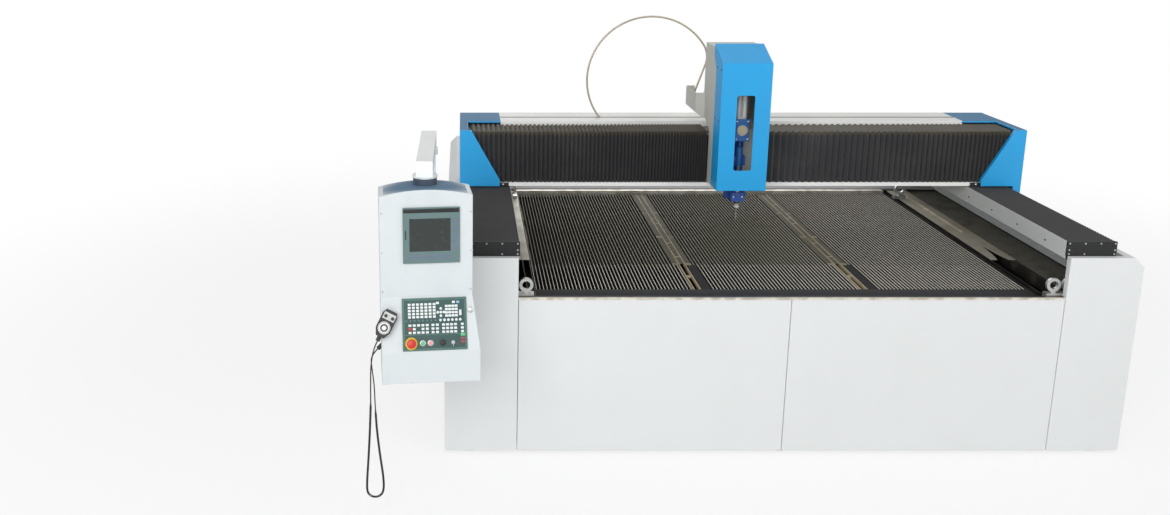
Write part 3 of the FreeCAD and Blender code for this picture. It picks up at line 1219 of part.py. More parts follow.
def main():
    save("base_frame", base_frame())
    save("levelling_feet", levelling_feet())
    save("right_side_housing", right_side_housing())
    save("left_side_housing", mirror_x(right_side_housing()))
    save("front_panels", both_sides(right_front_panel()))
    save("rear_panel", rear_panel())
    save("rear_deck", rear_deck())
    save("catcher_tank", catcher_tank())
    save("tank_rims", tank_rims())
    save("slat_racks", slat_racks())
    save("cross_bars", cross_bars())
    save("slat_supports", slat_supports())
    save("support_legs", support_legs())
    save("tank_dividers", both_sides(right_divider()))
    save("trough_rails", both_sides(right_trough_rail()))
    save("trough_covers", both_sides(right_trough_cover()))
    save("side_grates", both_sides(right_side_grate()))
    save("lifting_eyes", both_sides(right_lifting_eyes()))
    save("rail_beams", both_sides(right_rail_beam()))
    save("rail_guides", both_sides(right_guide()))
    save("rail_guards", both_sides(right_rail_guard()))
    save("bellows_end_plates", both_sides(right_end_plates()))
    save("front_rail_bellows", both_sides(right_rail_bellows(PANEL_BACK + END_PLATE_T, GANTRY_FRONT)))
    save("rear_rail_bellows", both_sides(right_rail_bellows(GANTRY_REAR, FRAME_REAR - END_PLATE_T)))
    save("gantry_trucks", both_sides(right_truck()))
    save("gantry_sill", gantry_sill())
    save("gantry_beam", gantry_beam())
    save("beam_top_rail", beam_top_rail())
    save("right_end_cap", right_end_cap())
    save("left_end_cap", mirror_x(right_end_cap()))
    save("left_beam_bellows", beam_bellows(-CAP_TOP_IN, COVER_LEFT))
    save("right_beam_bellows", beam_bellows(COVER_RIGHT, CAP_TOP_IN))
    save("high_pressure_loop", high_pressure_loop())
    save("carriage_cover", carriage_cover())
    save("carriage_housing", carriage_housing())
    save("carriage_saddle", carriage_saddle())
    save("hose_bracket", hose_bracket())
    save("z_column", z_column())
    save("head_slide", head_slide())
    save("valve_actuator", valve_actuator())
    save("head_tubes", head_tubes())
    save("cutting_nozzle", cutting_nozzle())
    save("console_post", console_post())
    save("console_arm", console_arm())
    save("console_housing", console_housing())
    save("console_swivel", console_swivel())
    save("screen_unit", screen_unit())
    save("keyboard_panel", keyboard_panel())
    save("console_controls", console_controls())
    save("hand_pendant", group([pendant_body(), cord_gland()]))
    save("pendant_cord", pendant_cord())


main()
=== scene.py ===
# %% [markdown]
# This lesson dresses a waterjet cutting machine. Its exact solids come from a fixed frame, in metres, with
# the floor at z = 0 and the front facing -Y. Solids that already have the right shape only get a finish.
# Pleats, keys, screws and the curly cord are too fine for them, so those are modelled here.

# %% Load the frame
import bpy
import math
from mathutils import Matrix, Vector


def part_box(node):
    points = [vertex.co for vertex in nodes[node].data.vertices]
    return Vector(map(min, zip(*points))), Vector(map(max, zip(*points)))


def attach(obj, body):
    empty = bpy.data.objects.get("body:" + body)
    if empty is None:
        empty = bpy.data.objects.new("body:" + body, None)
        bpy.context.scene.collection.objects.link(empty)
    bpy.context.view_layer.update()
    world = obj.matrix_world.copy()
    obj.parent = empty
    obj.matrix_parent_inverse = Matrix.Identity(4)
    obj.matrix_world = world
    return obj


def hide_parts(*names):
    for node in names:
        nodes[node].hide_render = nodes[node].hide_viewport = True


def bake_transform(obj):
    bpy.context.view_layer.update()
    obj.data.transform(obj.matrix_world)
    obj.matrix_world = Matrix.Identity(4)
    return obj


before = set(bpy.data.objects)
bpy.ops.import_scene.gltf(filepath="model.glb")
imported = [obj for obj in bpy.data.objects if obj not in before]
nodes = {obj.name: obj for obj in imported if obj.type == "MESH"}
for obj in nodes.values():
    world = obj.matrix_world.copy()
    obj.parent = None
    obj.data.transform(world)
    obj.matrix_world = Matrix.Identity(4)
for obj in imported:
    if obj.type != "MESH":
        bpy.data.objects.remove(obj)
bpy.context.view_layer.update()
print("frame loaded,", len(nodes), "solids")

# %% [markdown]
# The machine stands in a hall and is seen from in front, a little above the gantry. The lens is moderately
# wide, and its shift keeps the uprights almost upright, as an architectural photographer would.

# %% Camera
camera_data = bpy.data.cameras.new("hall_camera")
camera_data.lens = 31.81
camera_data.shift_x = 0.1046
camera_data.shift_y = -0.10
camera = bpy.data.objects.new("hall_camera", camera_data)
bpy.context.collection.objects.link(camera)
camera.location = (-1.980, -7.583, 3.290)
camera.rotation_euler = (math.radians(90 - 12.49), 0, 0)
bpy.context.scene.camera = camera

# %% [markdown]
# Shader maths reads best as sums and products. This class wraps a socket, so that an expression such as
# 1 - dust * 0.4 adds the Math nodes itself. Colours go through one mix method instead, which keeps their hue.


# %% A socket that can be calculated with
class Wire:
    def __init__(self, paint, socket):
        self.paint = paint
        self.socket = socket

    def combine(self, operation, first, second):
        return self.paint.node("ShaderNodeMath", {"operation": operation}, {0: first, 1: second})

    def __add__(self, other):
        return self.combine("ADD", self, other)

    def __sub__(self, other):
        return self.combine("SUBTRACT", self, other)

    def __rsub__(self, other):
        return self.combine("SUBTRACT", other, self)

    def __mul__(self, other):
        return self.combine("MULTIPLY", self, other)

    __radd__ = __add__
    __rmul__ = __mul__


# %% [markdown]
# A paint is one material. Every finish starts from the same shader and the object's own coordinates, because
# those stay fixed to the piece when it moves.


# %% A material and its nodes
def tone(red, green, blue):
    """Screen colour from 0 to 255 as the linear colour that a shader takes."""
    linear = [((c / 255 + 0.055) / 1.055) ** 2.4 if c > 10 else c / 255 / 12.92 for c in (red, green, blue)]
    return (*linear, 1.0)


class Paint:
    def __init__(self, name):
        self.material = bpy.data.materials.new(name)
        self.material.use_nodes = True
        self.tree = self.material.node_tree
        self.shader = self.tree.nodes["Principled BSDF"]
        self.place = self.node("ShaderNodeTexCoord", {}, {}, "Object")

    def node(self, kind, settings, inputs, output=0):
        node = self.tree.nodes.new(kind)
        for name, value in settings.items():
            if name == "stops":
                while len(node.color_ramp.elements) < len(value):
                    node.color_ramp.elements.new(0.5)
                for element, (position, colour) in zip(node.color_ramp.elements, value):
                    element.position = position
                    element.color = colour
            else:
                setattr(node, name, value)
        for name, value in inputs.items():
            self.plug(node.inputs[name], value)
        return Wire(self, node.outputs[output])

    def plug(self, socket, value):
        if isinstance(value, Wire):
            self.tree.links.new(value.socket, socket)
        else:
            socket.default_value = value

    def stretched(self, scale):
        return self.node("ShaderNodeMapping", {}, {"Vector": self.place, "Scale": scale})

    def noise(self, scale, detail=3.0, place=None):
        return self.node("ShaderNodeTexNoise", {}, {"Vector": place or self.place, "Scale": scale,
                                                    "Detail": detail})

    def band(self, value, low, high):
        """0 below low, 1 above high, and a smooth step between them."""
        return self.node("ShaderNodeMapRange", {"interpolation_type": "SMOOTHSTEP"},
                         {"Value": value, "From Min": low, "From Max": high})

    def mix(self, factor, first, second):
        mixer = self.tree.nodes.new("ShaderNodeMix")
        mixer.data_type = "RGBA"
        self.plug(mixer.inputs[0], factor)
        self.plug(mixer.inputs[6], first)
        self.plug(mixer.inputs[7], second)
        return Wire(self, mixer.outputs[2])

    def finish(self, colour, roughness, metallic=0.0, bump=None, depth=0.0005, coat=0.0):
        self.plug(self.shader.inputs["Base Color"], colour)
        self.plug(self.shader.inputs["Roughness"], roughness)
        self.plug(self.shader.inputs["Metallic"], metallic)
        self.plug(self.shader.inputs["Coat Weight"], coat)
        if bump is not None:
            relief = self.node("ShaderNodeBump", {}, {"Height": bump, "Strength": 0.6, "Distance": depth},
                               "Normal")
            self.plug(self.shader.inputs["Normal"], relief)
        return self.material


# %% [markdown]
# Sheet steel on such a machine has a sprayed coat with a fine orange peel. It is never quite even: dust lies
# on what faces up, and hands and water leave faint cloudy marks. On the blue caps and the console the
# grey-blue tint of the faces that look up is a painted reflection.


# %% Sprayed paint
def sprayed(name, colour, dust_and_reflection, roughness=0.42, top_dust_and_reflection=0.35, coat=0.0):
    paint = Paint(name)
    cloud = paint.noise(2.3, 4.0)
    speck = paint.noise(34.0, 2.0)
    facing = paint.node("ShaderNodeNewGeometry", {}, {}, "Normal")
    up = paint.node("ShaderNodeSeparateXYZ", {}, {0: facing}, 2)
    # Faces that look up turn to the dust colour. On most paints that is real dust; on the blue caps and the
    # console it is a painted reflection.
    top_dust_and_reflection_mask = paint.band(up, 0.94, 0.99) * top_dust_and_reflection
    marks = paint.band(cloud, 0.42, 0.72) * 0.10 + paint.band(speck, 0.62, 0.8) * 0.05
    shade = paint.mix(marks, colour, dust_and_reflection)
    shade = paint.mix(top_dust_and_reflection_mask, shade, dust_and_reflection)
    peel = paint.noise(420.0, 2.0)
    return paint.finish(shade, roughness + cloud * 0.12 + top_dust_and_reflection_mask * 0.35, 0.0, peel, 0.0004, coat)


GREY_DUST = tone(150, 150, 144)
panel_paint = sprayed("panel_light_grey", tone(222, 224, 224), tone(206, 207, 204), 0.42, 0.25)
# The grey-blue on the caps' top faces is a painted reflection.
blue_paint = sprayed("cap_blue", tone(26, 166, 231), tone(84, 112, 136), 0.44, 0.85)
housing_paint = sprayed("housing_warm_grey", tone(198, 199, 191), tone(196, 195, 186), 0.5)
guard_paint = sprayed("guard_grey", tone(206, 208, 206), GREY_DUST, 0.5)
frame_paint = sprayed("frame_dark_grey", tone(78, 82, 86), GREY_DUST, 0.55)
sill_paint = sprayed("beam_pale_aluminium", tone(250, 250, 247), tone(184, 182, 172), 0.4)
arm_paint = sprayed("arm_white", tone(240, 243, 244), tone(200, 200, 196), 0.4)
# The grey-blue on the console's top faces is a painted reflection.
console_paint = sprayed("console_pale_grey", tone(212, 218, 220), tone(74, 108, 134), 0.46, 0.95)
swivel_paint = sprayed("swivel_dark_blue", tone(52, 66, 84), GREY_DUST, 0.4)
black_paint = sprayed("plate_black", tone(16, 17, 19), tone(50, 49, 46), 0.6, 0.3)
deck_paint = sprayed("deck_grey", tone(176, 178, 178), tone(150, 150, 146), 0.5)
clamp_blue = sprayed("clamp_blue", tone(38, 84, 166), tone(120, 130, 150), 0.3, 0.3, 0.2)
print("sprayed paints ready")

# %% [markdown]
# Bare metal is rolled or drawn, so its scratches run one way. A noise that is stretched along that way gives
# the grain, and a second slower one gives stains where water dries.


# %% Bare metal
def drawn_metal(name, colour, stain, grain, roughness=0.34, stained=0.3, metallic=0.85):
    paint = Paint(name)
    scratch = paint.noise(1.0, 4.0, paint.stretched(grain))
    cloud = paint.noise(5.0, 5.0)
    marks = paint.band(cloud, 0.40, 0.70) * stained
    shade = paint.mix(marks, colour, stain)
    shade = paint.mix(scratch * 0.25, shade, tone(70, 68, 64))
    return paint.finish(shade, roughness + scratch * 0.25 + marks * 0.3, metallic - marks * 0.5 * metallic,
                        scratch, 0.0003)


ACROSS = (8.0, 500.0, 500.0)
ALONG = (500.0, 8.0, 500.0)
UPRIGHT = (600.0, 600.0, 12.0)
bright_steel = drawn_metal("bright_steel", tone(205, 206, 205), tone(150, 146, 138), UPRIGHT, 0.26, 0.2)


def lip_metal_with_gutter_shade(name, colour, stain):
    """Bright lip whose rear half is painted near black: painted shade of the gutter behind it."""
    paint = Paint(name)
    scratch = paint.noise(1.0, 4.0, paint.stretched(ACROSS))
    cloud = paint.noise(14.0, 5.0)
    depth = paint.node("ShaderNodeSeparateXYZ", {}, {0: paint.place}, 1)
    # The rear band of the lip is painted near black as the shade of the gutter behind it.
    painted_gutter_shade = paint.band(depth, -1.7095, -1.7080) * (1 - paint.band(depth, -1.60, -1.59))
    shade = paint.mix(paint.band(cloud, 0.40, 0.62) * 0.55, colour, stain)
    shade = paint.mix(painted_gutter_shade, shade, tone(30, 30, 29))
    return paint.finish(shade, 0.32 + scratch * 0.25, 0.55 - painted_gutter_shade * 0.5, scratch, 0.0003)


pale_strip = drawn_metal("pale_strip", tone(236, 231, 216), tone(190, 176, 150), ALONG, 0.45, 0.4, 0.25)
trough_steel = drawn_metal("trough_cover_steel", tone(206, 200, 184), tone(150, 138, 116), ALONG, 0.4, 0.5,
                           0.3)
rim_steel_with_gutter_shade = lip_metal_with_gutter_shade("rim_stainless_with_gutter_shade", tone(226, 222, 212), tone(158, 142, 118))
tube_metal = drawn_metal("pressure_tube_steel", tone(190, 180, 160), tone(140, 128, 104), UPRIGHT, 0.35, 0.3)
tube_bright = drawn_metal("tube_bright", tone(236, 236, 232), tone(180, 178, 170), UPRIGHT, 0.35, 0.2, 0.2)
column_white = sprayed("column_white", tone(222, 222, 214), tone(168, 158, 140), 0.35)

# %% [markdown]
# The cutting bed is the dirtiest place. Its slats are zinc coated but carry a crust of olive grey abrasive,
# with rust near the ends of each row. Their top edges get a painted highlight and their sides painted shade,
# both strongest in the front row.

# %% Slats, rust, black coatings, painted highlights and shade
crust = Paint("slat_crust_and_painted_light")
crust_cloud = crust.noise(7.0, 6.0)
crust_grit = crust.noise(160.0, 4.0)
crust_depth = crust.node("ShaderNodeSeparateXYZ", {}, {0: crust.place}, 1)
crust_height = crust.node("ShaderNodeSeparateXYZ", {}, {0: crust.place}, 2)
crust_across = crust.node("ShaderNodeSeparateXYZ", {}, {0: crust.place}, 0)
ROW_LEN = 0.593
ROW_START = -1.625
crust_far = crust.band(crust_depth, ROW_START + ROW_LEN - 0.01, ROW_START + ROW_LEN + 0.01)
crust_dusty = crust_far * (1 - crust.band(crust_across, -0.1, 0.9) * 0.8)
# Slat sides: painted shade between the slats, near black in the front row and olive grey crust behind it.
side_shade_and_crust = crust.mix(crust_dusty, tone(13, 13, 11), tone(74, 73, 62))
side_shade_and_crust = crust.mix(crust.band(crust_cloud, 0.52, 0.74) * 0.3, side_shade_and_crust, tone(84, 64, 42))
# Slat top edges: a painted highlight, near white in the front row and greyer with crust behind it.
edge_highlight_and_crust = crust.mix(crust_dusty * 0.7, tone(236, 232, 220), tone(150, 147, 130))
edge_highlight_and_crust = crust.mix(crust.band(crust_grit, 0.45, 0.75) * 0.5, edge_highlight_and_crust, tone(130, 122, 102))
row_count = (crust_depth + (10 * ROW_LEN - ROW_START)) * (1 / ROW_LEN)
row_place = row_count.combine("FRACT", row_count, 0.0) - 0.5
row_end = crust.band(row_place.combine("ABSOLUTE", row_place, 0.0), 0.486, 0.492)
edge_highlight_and_crust = crust.mix(row_end * 0.8, edge_highlight_and_crust, tone(206, 200, 180))
# The top few millimetres of each slat take the highlight colour, and the sides below take the shade colour.
crust_and_painted_light = crust.mix(crust.band(crust_height, 0.9855, 0.9885), side_shade_and_crust, edge_highlight_and_crust)
slat_crust_and_painted_light = crust.finish(crust_and_painted_light, 0.62 + crust_grit * 0.2, 0.2, crust_grit, 0.0012)


def rough_matte(name, colour, stain, amount, roughness=0.6):
    paint = Paint(name)
    cloud = paint.noise(9.0, 6.0)
    grit = paint.noise(120.0, 3.0)
    marks = paint.band(cloud, 0.48, 0.70) * amount + paint.band(grit, 0.6, 0.8) * amount * 0.4
    return paint.finish(paint.mix(marks, colour, stain), roughness + cloud * 0.2, 0.0, grit, 0.0008)


dull_sheet = rough_matte("dull_sheet", tone(84, 81, 68), tone(112, 105, 84), 0.5, 0.7)
ladder_beige = rough_matte("ladder_beige", tone(168, 156, 128), tone(112, 100, 78), 0.6, 0.6)
# The shelf's navy patches over its black are a painted blue sheen.
shelf_black = rough_matte("shelf_black", tone(10, 12, 15), tone(22, 32, 44), 0.5, 0.75)
# A near-black sheet painted as the shade in the open gap between slat sections.
well_painted_shade = rough_matte("well_painted_shade", tone(8, 8, 7), tone(22, 20, 16), 0.3, 0.85)
tank_black = rough_matte("tank_wet_black", tone(28, 27, 26), tone(86, 76, 60), 0.5, 0.4)
grate_black = rough_matte("grate_black", tone(112, 110, 100), tone(40, 36, 30), 0.5, 0.5)
rusty_steel = rough_matte("rusty_steel", tone(74, 56, 40), tone(120, 78, 44), 0.8, 0.75)
moulded_black = rough_matte("moulded_black", tone(34, 34, 36), tone(64, 64, 64), 0.25, 0.42)
cord_rubber = rough_matte("cord_rubber", tone(32, 32, 34), tone(62, 62, 62), 0.3, 0.5)
keyboard_green = rough_matte("keyboard_dark_green", tone(50, 80, 78), tone(62, 94, 90), 0.3, 0.45)
bezel_green = rough_matte("bezel_grey_green", tone(98, 122, 122), tone(110, 134, 132), 0.3, 0.5)
print("bare metal and coatings ready")

# %% [markdown]
# The way covers are folded from coated cloth. The folds catch dust on their ridges, so the paint gets a weave
# and a pale veil in slow patches.


# %% Pleated cloth
def pleat_cloth(name, colour, veil, amount):
    paint = Paint(name)
    across = paint.node("ShaderNodeTexWave", {"wave_type": "BANDS", "bands_direction": "X"},
                        {"Vector": paint.place, "Scale": 260.0})
    upward = paint.node("ShaderNodeTexWave", {"wave_type": "BANDS", "bands_direction": "Z"},
                        {"Vector": paint.place, "Scale": 260.0})
    weave = across * upward
    cloud = paint.noise(3.5, 5.0)
    shade = paint.mix(paint.band(cloud, 0.40, 0.75) * amount, colour, veil)
    return paint.finish(shade, 0.55 + cloud * 0.25, 0.0, weave, 0.0004)


pleat_black = pleat_cloth("pleat_black", tone(66, 66, 68), tone(98, 97, 93), 0.3)
rail_pleat_black = pleat_cloth("rail_pleat_black", tone(46, 46, 47), tone(70, 69, 66), 0.3)
pleat_top = pleat_cloth("pleat_top_brown", tone(82, 77, 67), tone(108, 101, 88), 0.45)

# %% [markdown]
# Controls are small glossy mouldings. One helper gives each its colour, with slight wear on the surface.


# %% Glossy mouldings
def moulding(name, colour, roughness=0.3, glow=0.0):
    paint = Paint(name)
    wear = paint.noise(60.0, 4.0)
    shade = paint.mix(paint.band(wear, 0.55, 0.8) * 0.2, colour, tone(120, 120, 116))
    material = paint.finish(shade, roughness + wear * 0.15, 0.0, wear, 0.0002)
    if glow:
        paint.plug(paint.shader.inputs["Emission Color"], colour)
        paint.plug(paint.shader.inputs["Emission Strength"], glow)
    return material


key_white = moulding("key_white", tone(226, 232, 230))
key_blue = moulding("key_pale_blue", tone(140, 190, 222))
key_red = moulding("key_red", tone(208, 52, 50))
key_dull_red = moulding("key_dull_red", tone(150, 70, 76))
key_green = moulding("key_green", tone(104, 186, 130))
key_pink = moulding("key_pink", tone(226, 150, 150))
key_line = moulding("key_border_green", tone(128, 178, 156))
stop_red = moulding("stop_red", tone(206, 40, 34), 0.22)
stop_yellow = moulding("stop_yellow", tone(226, 190, 40))
button_violet = moulding("button_violet", tone(122, 104, 170))
glass_dark = moulding("display_glass", tone(40, 48, 46), 0.15)
dial_white = moulding("dial_white", tone(228, 230, 228))
disc_beige = moulding("disc_beige", tone(196, 188, 162))
actuator_blue = moulding("actuator_blue", tone(48, 108, 176))
black_strip = moulding("strip_black", tone(24, 26, 28))

# %% [markdown]
# Each solid of the frame that keeps its shape gets its finish here. A small bevel rounds the folded sheet
# edges, because a real fold always catches a line of light.

# %% Finishes of the solids
FINISHES = {
    "front_panels": panel_paint, "right_side_housing": panel_paint, "left_side_housing": panel_paint,
    "rear_panel": panel_paint, "rear_deck": deck_paint, "base_frame": frame_paint,
    "levelling_feet": bright_steel,
    "catcher_tank": tank_black, "tank_rims": rim_steel_with_gutter_shade, "slat_racks": slat_crust_and_painted_light, "cross_bars": rusty_steel,
    "slat_supports": rusty_steel, "support_legs": tank_black, "tank_dividers": tank_black,
    "trough_rails": tank_black, "trough_covers": trough_steel, "side_grates": grate_black,
    "lifting_eyes": bright_steel, "rail_beams": frame_paint, "rail_guides": bright_steel,
    "rail_guards": guard_paint, "bellows_end_plates": black_paint, "console_post": arm_paint,
    "gantry_trucks": frame_paint, "gantry_sill": sill_paint, "gantry_beam": frame_paint,
    "beam_top_rail": sill_paint, "right_end_cap": blue_paint, "left_end_cap": blue_paint,
    "carriage_cover": blue_paint, "carriage_housing": housing_paint, "carriage_saddle": frame_paint,
    "hose_bracket": housing_paint, "z_column": column_white, "head_slide": clamp_blue,
    "valve_actuator": actuator_blue, "head_tubes": tube_bright, "cutting_nozzle": bright_steel,
    "console_arm": arm_paint,
    "console_housing": console_paint, "console_swivel": swivel_paint, "screen_unit": bezel_green,
    "keyboard_panel": keyboard_green, "hand_pendant": moulded_black,
}
FOLDED = {"front_panels": 0.004, "right_side_housing": 0.006, "left_side_housing": 0.006,
          "right_end_cap": 0.003, "left_end_cap": 0.003, "carriage_cover": 0.003,
          "carriage_housing": 0.003, "console_housing": 0.006,
          "gantry_sill": 0.002, "bellows_end_plates": 0.002, "console_arm": 0.005, "console_post": 0.004,
          "screen_unit": 0.003, "keyboard_panel": 0.002, "rail_guards": 0.001, "beam_top_rail": 0.002}
for node, material in FINISHES.items():
    nodes[node].data.materials.clear()
    nodes[node].data.materials.append(material)
for node, width in FOLDED.items():
    weld = nodes[node].modifiers.new("weld", "WELD")
    weld.merge_threshold = 0.0001
    bevel = nodes[node].modifiers.new("fold", "BEVEL")
    bevel.width = width
    bevel.segments = 2
    bevel.limit_method = "ANGLE"
    bevel.angle_limit = math.radians(40)
print(len(FINISHES), "solids finished")

# %% [markdown]
# Modelling by hand means adding a primitive, selecting some of it and moving or extruding that. These helpers
# do the selecting in code. Each finished piece sits at the origin with its place in its mesh.


# %% Helpers for modelling
def only(piece):
    if bpy.context.object and bpy.context.object.mode != "OBJECT":
        bpy.ops.object.mode_set(mode="OBJECT")
    bpy.ops.object.select_all(action="DESELECT")
    if piece:
        piece.select_set(True)
        bpy.context.view_layer.objects.active = piece


def settle(name):
    bpy.ops.object.transform_apply(location=True, rotation=True, scale=True)
    piece = bpy.context.object
    piece.name = name
    return piece


def pick(piece, test):
    """Opens the piece in edit mode with only the vertices selected that pass the test."""
    only(piece)
    mesh = piece.data
    for part in (*mesh.edges, *mesh.polygons):
        part.select = False
    for vertex in mesh.vertices:
        vertex.select = test(vertex.co)
    bpy.context.tool_settings.mesh_select_mode = (True, False, False)
    bpy.ops.object.mode_set(mode="EDIT")


def pull(x, y, z):
    bpy.ops.mesh.extrude_region_move(TRANSFORM_OT_translate={"value": (x, y, z)})


def whole(piece, operator, **settings):
    pick(piece, lambda point: True)
    operator(**settings)
    only(piece)
    return piece


def block(name, low, high, rounded=0.0, turn=None):
    only(None)
    middle = [(a + b) / 2 for a, b in zip(low, high)]
    size = [b - a for a, b in zip(low, high)]
    bpy.ops.mesh.primitive_cube_add(size=1, location=middle, scale=size)
    piece = settle(name)
    if rounded:
        whole(piece, bpy.ops.mesh.bevel, offset=rounded, segments=2, affect="EDGES")
    if turn is not None:
        piece.data.transform(turn)
    return piece


def turned(name, profile, turn, sides=24):
    """A turned piece: a disc that is extruded and scaled up the profile of (radius, height) pairs."""
    only(None)
    radius, height = profile[0]
    bpy.ops.mesh.primitive_circle_add(vertices=sides, radius=radius, fill_type="NGON",
                                      location=(0, 0, height))
    piece = settle(name)
    pick(piece, lambda point: True)
    for next_radius, next_height in profile[1:]:
        pull(0, 0, next_height - height)
        bpy.ops.transform.resize(value=(next_radius / radius, next_radius / radius, 1),
                                 center_override=(0, 0, next_height))
        radius, height = next_radius, next_height
    whole(piece, bpy.ops.mesh.normals_make_consistent, inside=False)
    piece.data.transform(turn)
    return piece


def spread(name, model, places):
    """Copies one modelled piece to every place and joins the copies."""
    copies = []
    for place in places:
        copy = model.copy()
        copy.data = model.data.copy()
        copy.data.transform(place)
        bpy.context.collection.objects.link(copy)
        copies.append(copy)
    bpy.data.objects.remove(model)
    return joined(name, copies)


def joined(name, pieces):
    only(pieces[0])
    for piece in pieces:
        piece.select_set(True)
    bpy.ops.object.join()
    piece = bpy.context.object
    piece.name = name
    return piece


def dress(piece, body, material, smooth=35):
    piece.data.materials.clear()
    piece.data.materials.append(material)
    only(piece)
    bpy.ops.object.shade_smooth_by_angle(angle=math.radians(smooth))
    if body:
        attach(piece, body)
    return piece


def at(x, y, z):
    return Matrix.Translation((x, y, z))


FACING_FRONT = Matrix.Rotation(math.radians(90), 4, "X")

# %% [markdown]
# The hand pendant hangs its curly cord almost to the floor: two smooth leads, and a coil between them that
# gravity draws into a long narrow loop. The route is one smooth spline, and the coil winds round that line.

# %% Curly cord of the hand pendant
CORD_POINTS = [
    (-2.4377, -2.3945, 1.0381), (-2.458, -2.410, 1.000), (-2.474, -2.412, 0.908), (-2.478, -2.407, 0.795),
    (-2.480, -2.401, 0.665), (-2.488, -2.400, 0.510), (-2.498, -2.399, 0.355), (-2.509, -2.397, 0.218),
    (-2.511, -2.396, 0.138), (-2.484, -2.395, 0.110), (-2.446, -2.393, 0.110), (-2.419, -2.392, 0.138),
    (-2.417, -2.391, 0.218), (-2.437, -2.388, 0.370), (-2.452, -2.385, 0.525), (-2.458, -2.381, 0.660),
    (-2.461, -2.377, 0.780), (-2.474, -2.371, 0.880), (-2.477, -2.369, 0.942), (-2.4375, -2.3653, 0.9816),
]
LEAD = 0.36
LEAD_SWELL = 0.7
COIL_R = 0.0046
STRAND_R = 0.0021
COIL_PITCH = 0.0052
STEPS_A_TURN = 10

route_data = bpy.data.curves.new("cord_route", "CURVE")
route_data.dimensions = "3D"
route_data.resolution_u = 24
route = route_data.splines.new("NURBS")
route.points.add(len(CORD_POINTS) - 1)
for point, place in zip(route.points, CORD_POINTS):
    point.co = (*place, 1.0)
route.order_u = 3
route.use_endpoint_u = True
route_object = bpy.data.objects.new("cord_route", route_data)
route_mesh = bpy.data.meshes.new_from_object(route_object)
centre = [vertex.co.copy() for vertex in route_mesh.vertices]
run = [0.0]
for before, after in zip(centre, centre[1:]):
    run.append(run[-1] + (after - before).length)
cord_length = run[-1]
print("cord line", round(cord_length, 3), "m from", len(centre), "points")


def on_route(distance):
    """Point and direction on the route at a distance from the pendant."""
    index = max(i for i in range(len(run) - 1) if run[i] <= distance)
    share = (distance - run[index]) / (run[index + 1] - run[index])
    ahead = centre[index + 1] - centre[index]
    return centre[index] + ahead * share, ahead.normalized()


strand = []
thickness = []
angle = 0.0
distance = 0.0
side = Vector((0, 1, 0))
while distance < cord_length:
    spot, ahead = on_route(distance)
    side = (side - ahead * side.dot(ahead)).normalized()
    other = ahead.cross(side)
    grown = min(1.0, max(0.0, min(distance - LEAD, cord_length - LEAD - distance) / 0.03))
    radius = COIL_R * grown
    strand.append(spot + (side * math.cos(angle) + other * math.sin(angle)) * radius)
    thickness.append(1 + LEAD_SWELL * (1 - grown))
    if grown > 0:
        angle += 2 * math.pi / STEPS_A_TURN
        distance += COIL_PITCH / STEPS_A_TURN
    else:
        distance += 0.012
strand.append(centre[-1])
thickness.append(1 + LEAD_SWELL)
strand_data = bpy.data.curves.new("pendant_curly_cord", "CURVE")
strand_data.dimensions = "3D"
strand_data.bevel_depth = STRAND_R
strand_data.bevel_resolution = 1
strand_data.use_fill_caps = True
coil = strand_data.splines.new("POLY")
coil.points.add(len(strand) - 1)
for point, place, swell in zip(coil.points, strand, thickness):
    point.co = (*place, 1.0)
    point.radius = swell
curly = bpy.data.objects.new("pendant_curly_cord", strand_data)
bpy.context.collection.objects.link(curly)
only(curly)
bpy.ops.object.convert(target="MESH")
curly = bpy.context.object
dress(curly, "console", cord_rubber, 60)
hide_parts("pendant_cord")
bpy.data.meshes.remove(route_mesh)
bpy.data.objects.remove(route_object)
print("curly cord with", len(curly.data.polygons), "faces")

# %% [markdown]
# The covers of the gantry beam are the eye-catcher. One pleat is a folded strip: a plane whose side edge is
# pulled out and in again, and whose top edge is pulled back over the beam. Copies of it stand side by side,
# narrow where the cover is pushed together and wide where it is drawn out beside the carriage.

# %% Pleated covers of the beam
FOLD_DEPTH = 0.033
CLOTH = 0.0016


def beam_pleat(low, high):
    """One pleat from x = 0 to x = 1, with its ridge at the front and on top."""
    front = low.y + 0.001
    top = high.z - 0.034
    only(None)
    bpy.ops.mesh.primitive_plane_add(size=1, location=(0.25, front + FOLD_DEPTH, (low.z + top) / 2),
                                     rotation=(math.radians(90), 0, 0), scale=(0.5, 1, 1))
    piece = settle("beam_pleat")
    pick(piece, lambda point: True)
    bpy.ops.transform.resize(value=(0.5, 1, top - low.z), center_override=(0, 0, (low.z + top) / 2))
    only(piece)
    reach = max(vertex.co.x for vertex in piece.data.vertices)
    start = min(vertex.co.x for vertex in piece.data.vertices)
    piece.data.transform(Matrix.Diagonal((0.5 / (reach - start), 1, 1, 1)) @ at(-start, 0, 0))
    pick(piece, lambda point: point.x > 0.4)
    bpy.ops.transform.translate(value=(0, -FOLD_DEPTH, 0))
    pull(0.5, FOLD_DEPTH, 0)
    pick(piece, lambda point: point.z > top - 0.01)
    pull(0, 0.010, 0.009)
    pull(0, high.y - front - FOLD_DEPTH - 0.014, 0.0)
    pick(piece, lambda point: point.z > top + 0.005 and 0.3 < point.x < 0.7)
    bpy.ops.transform.translate(value=(0, 0, 0.023))
    only(piece)
    return piece


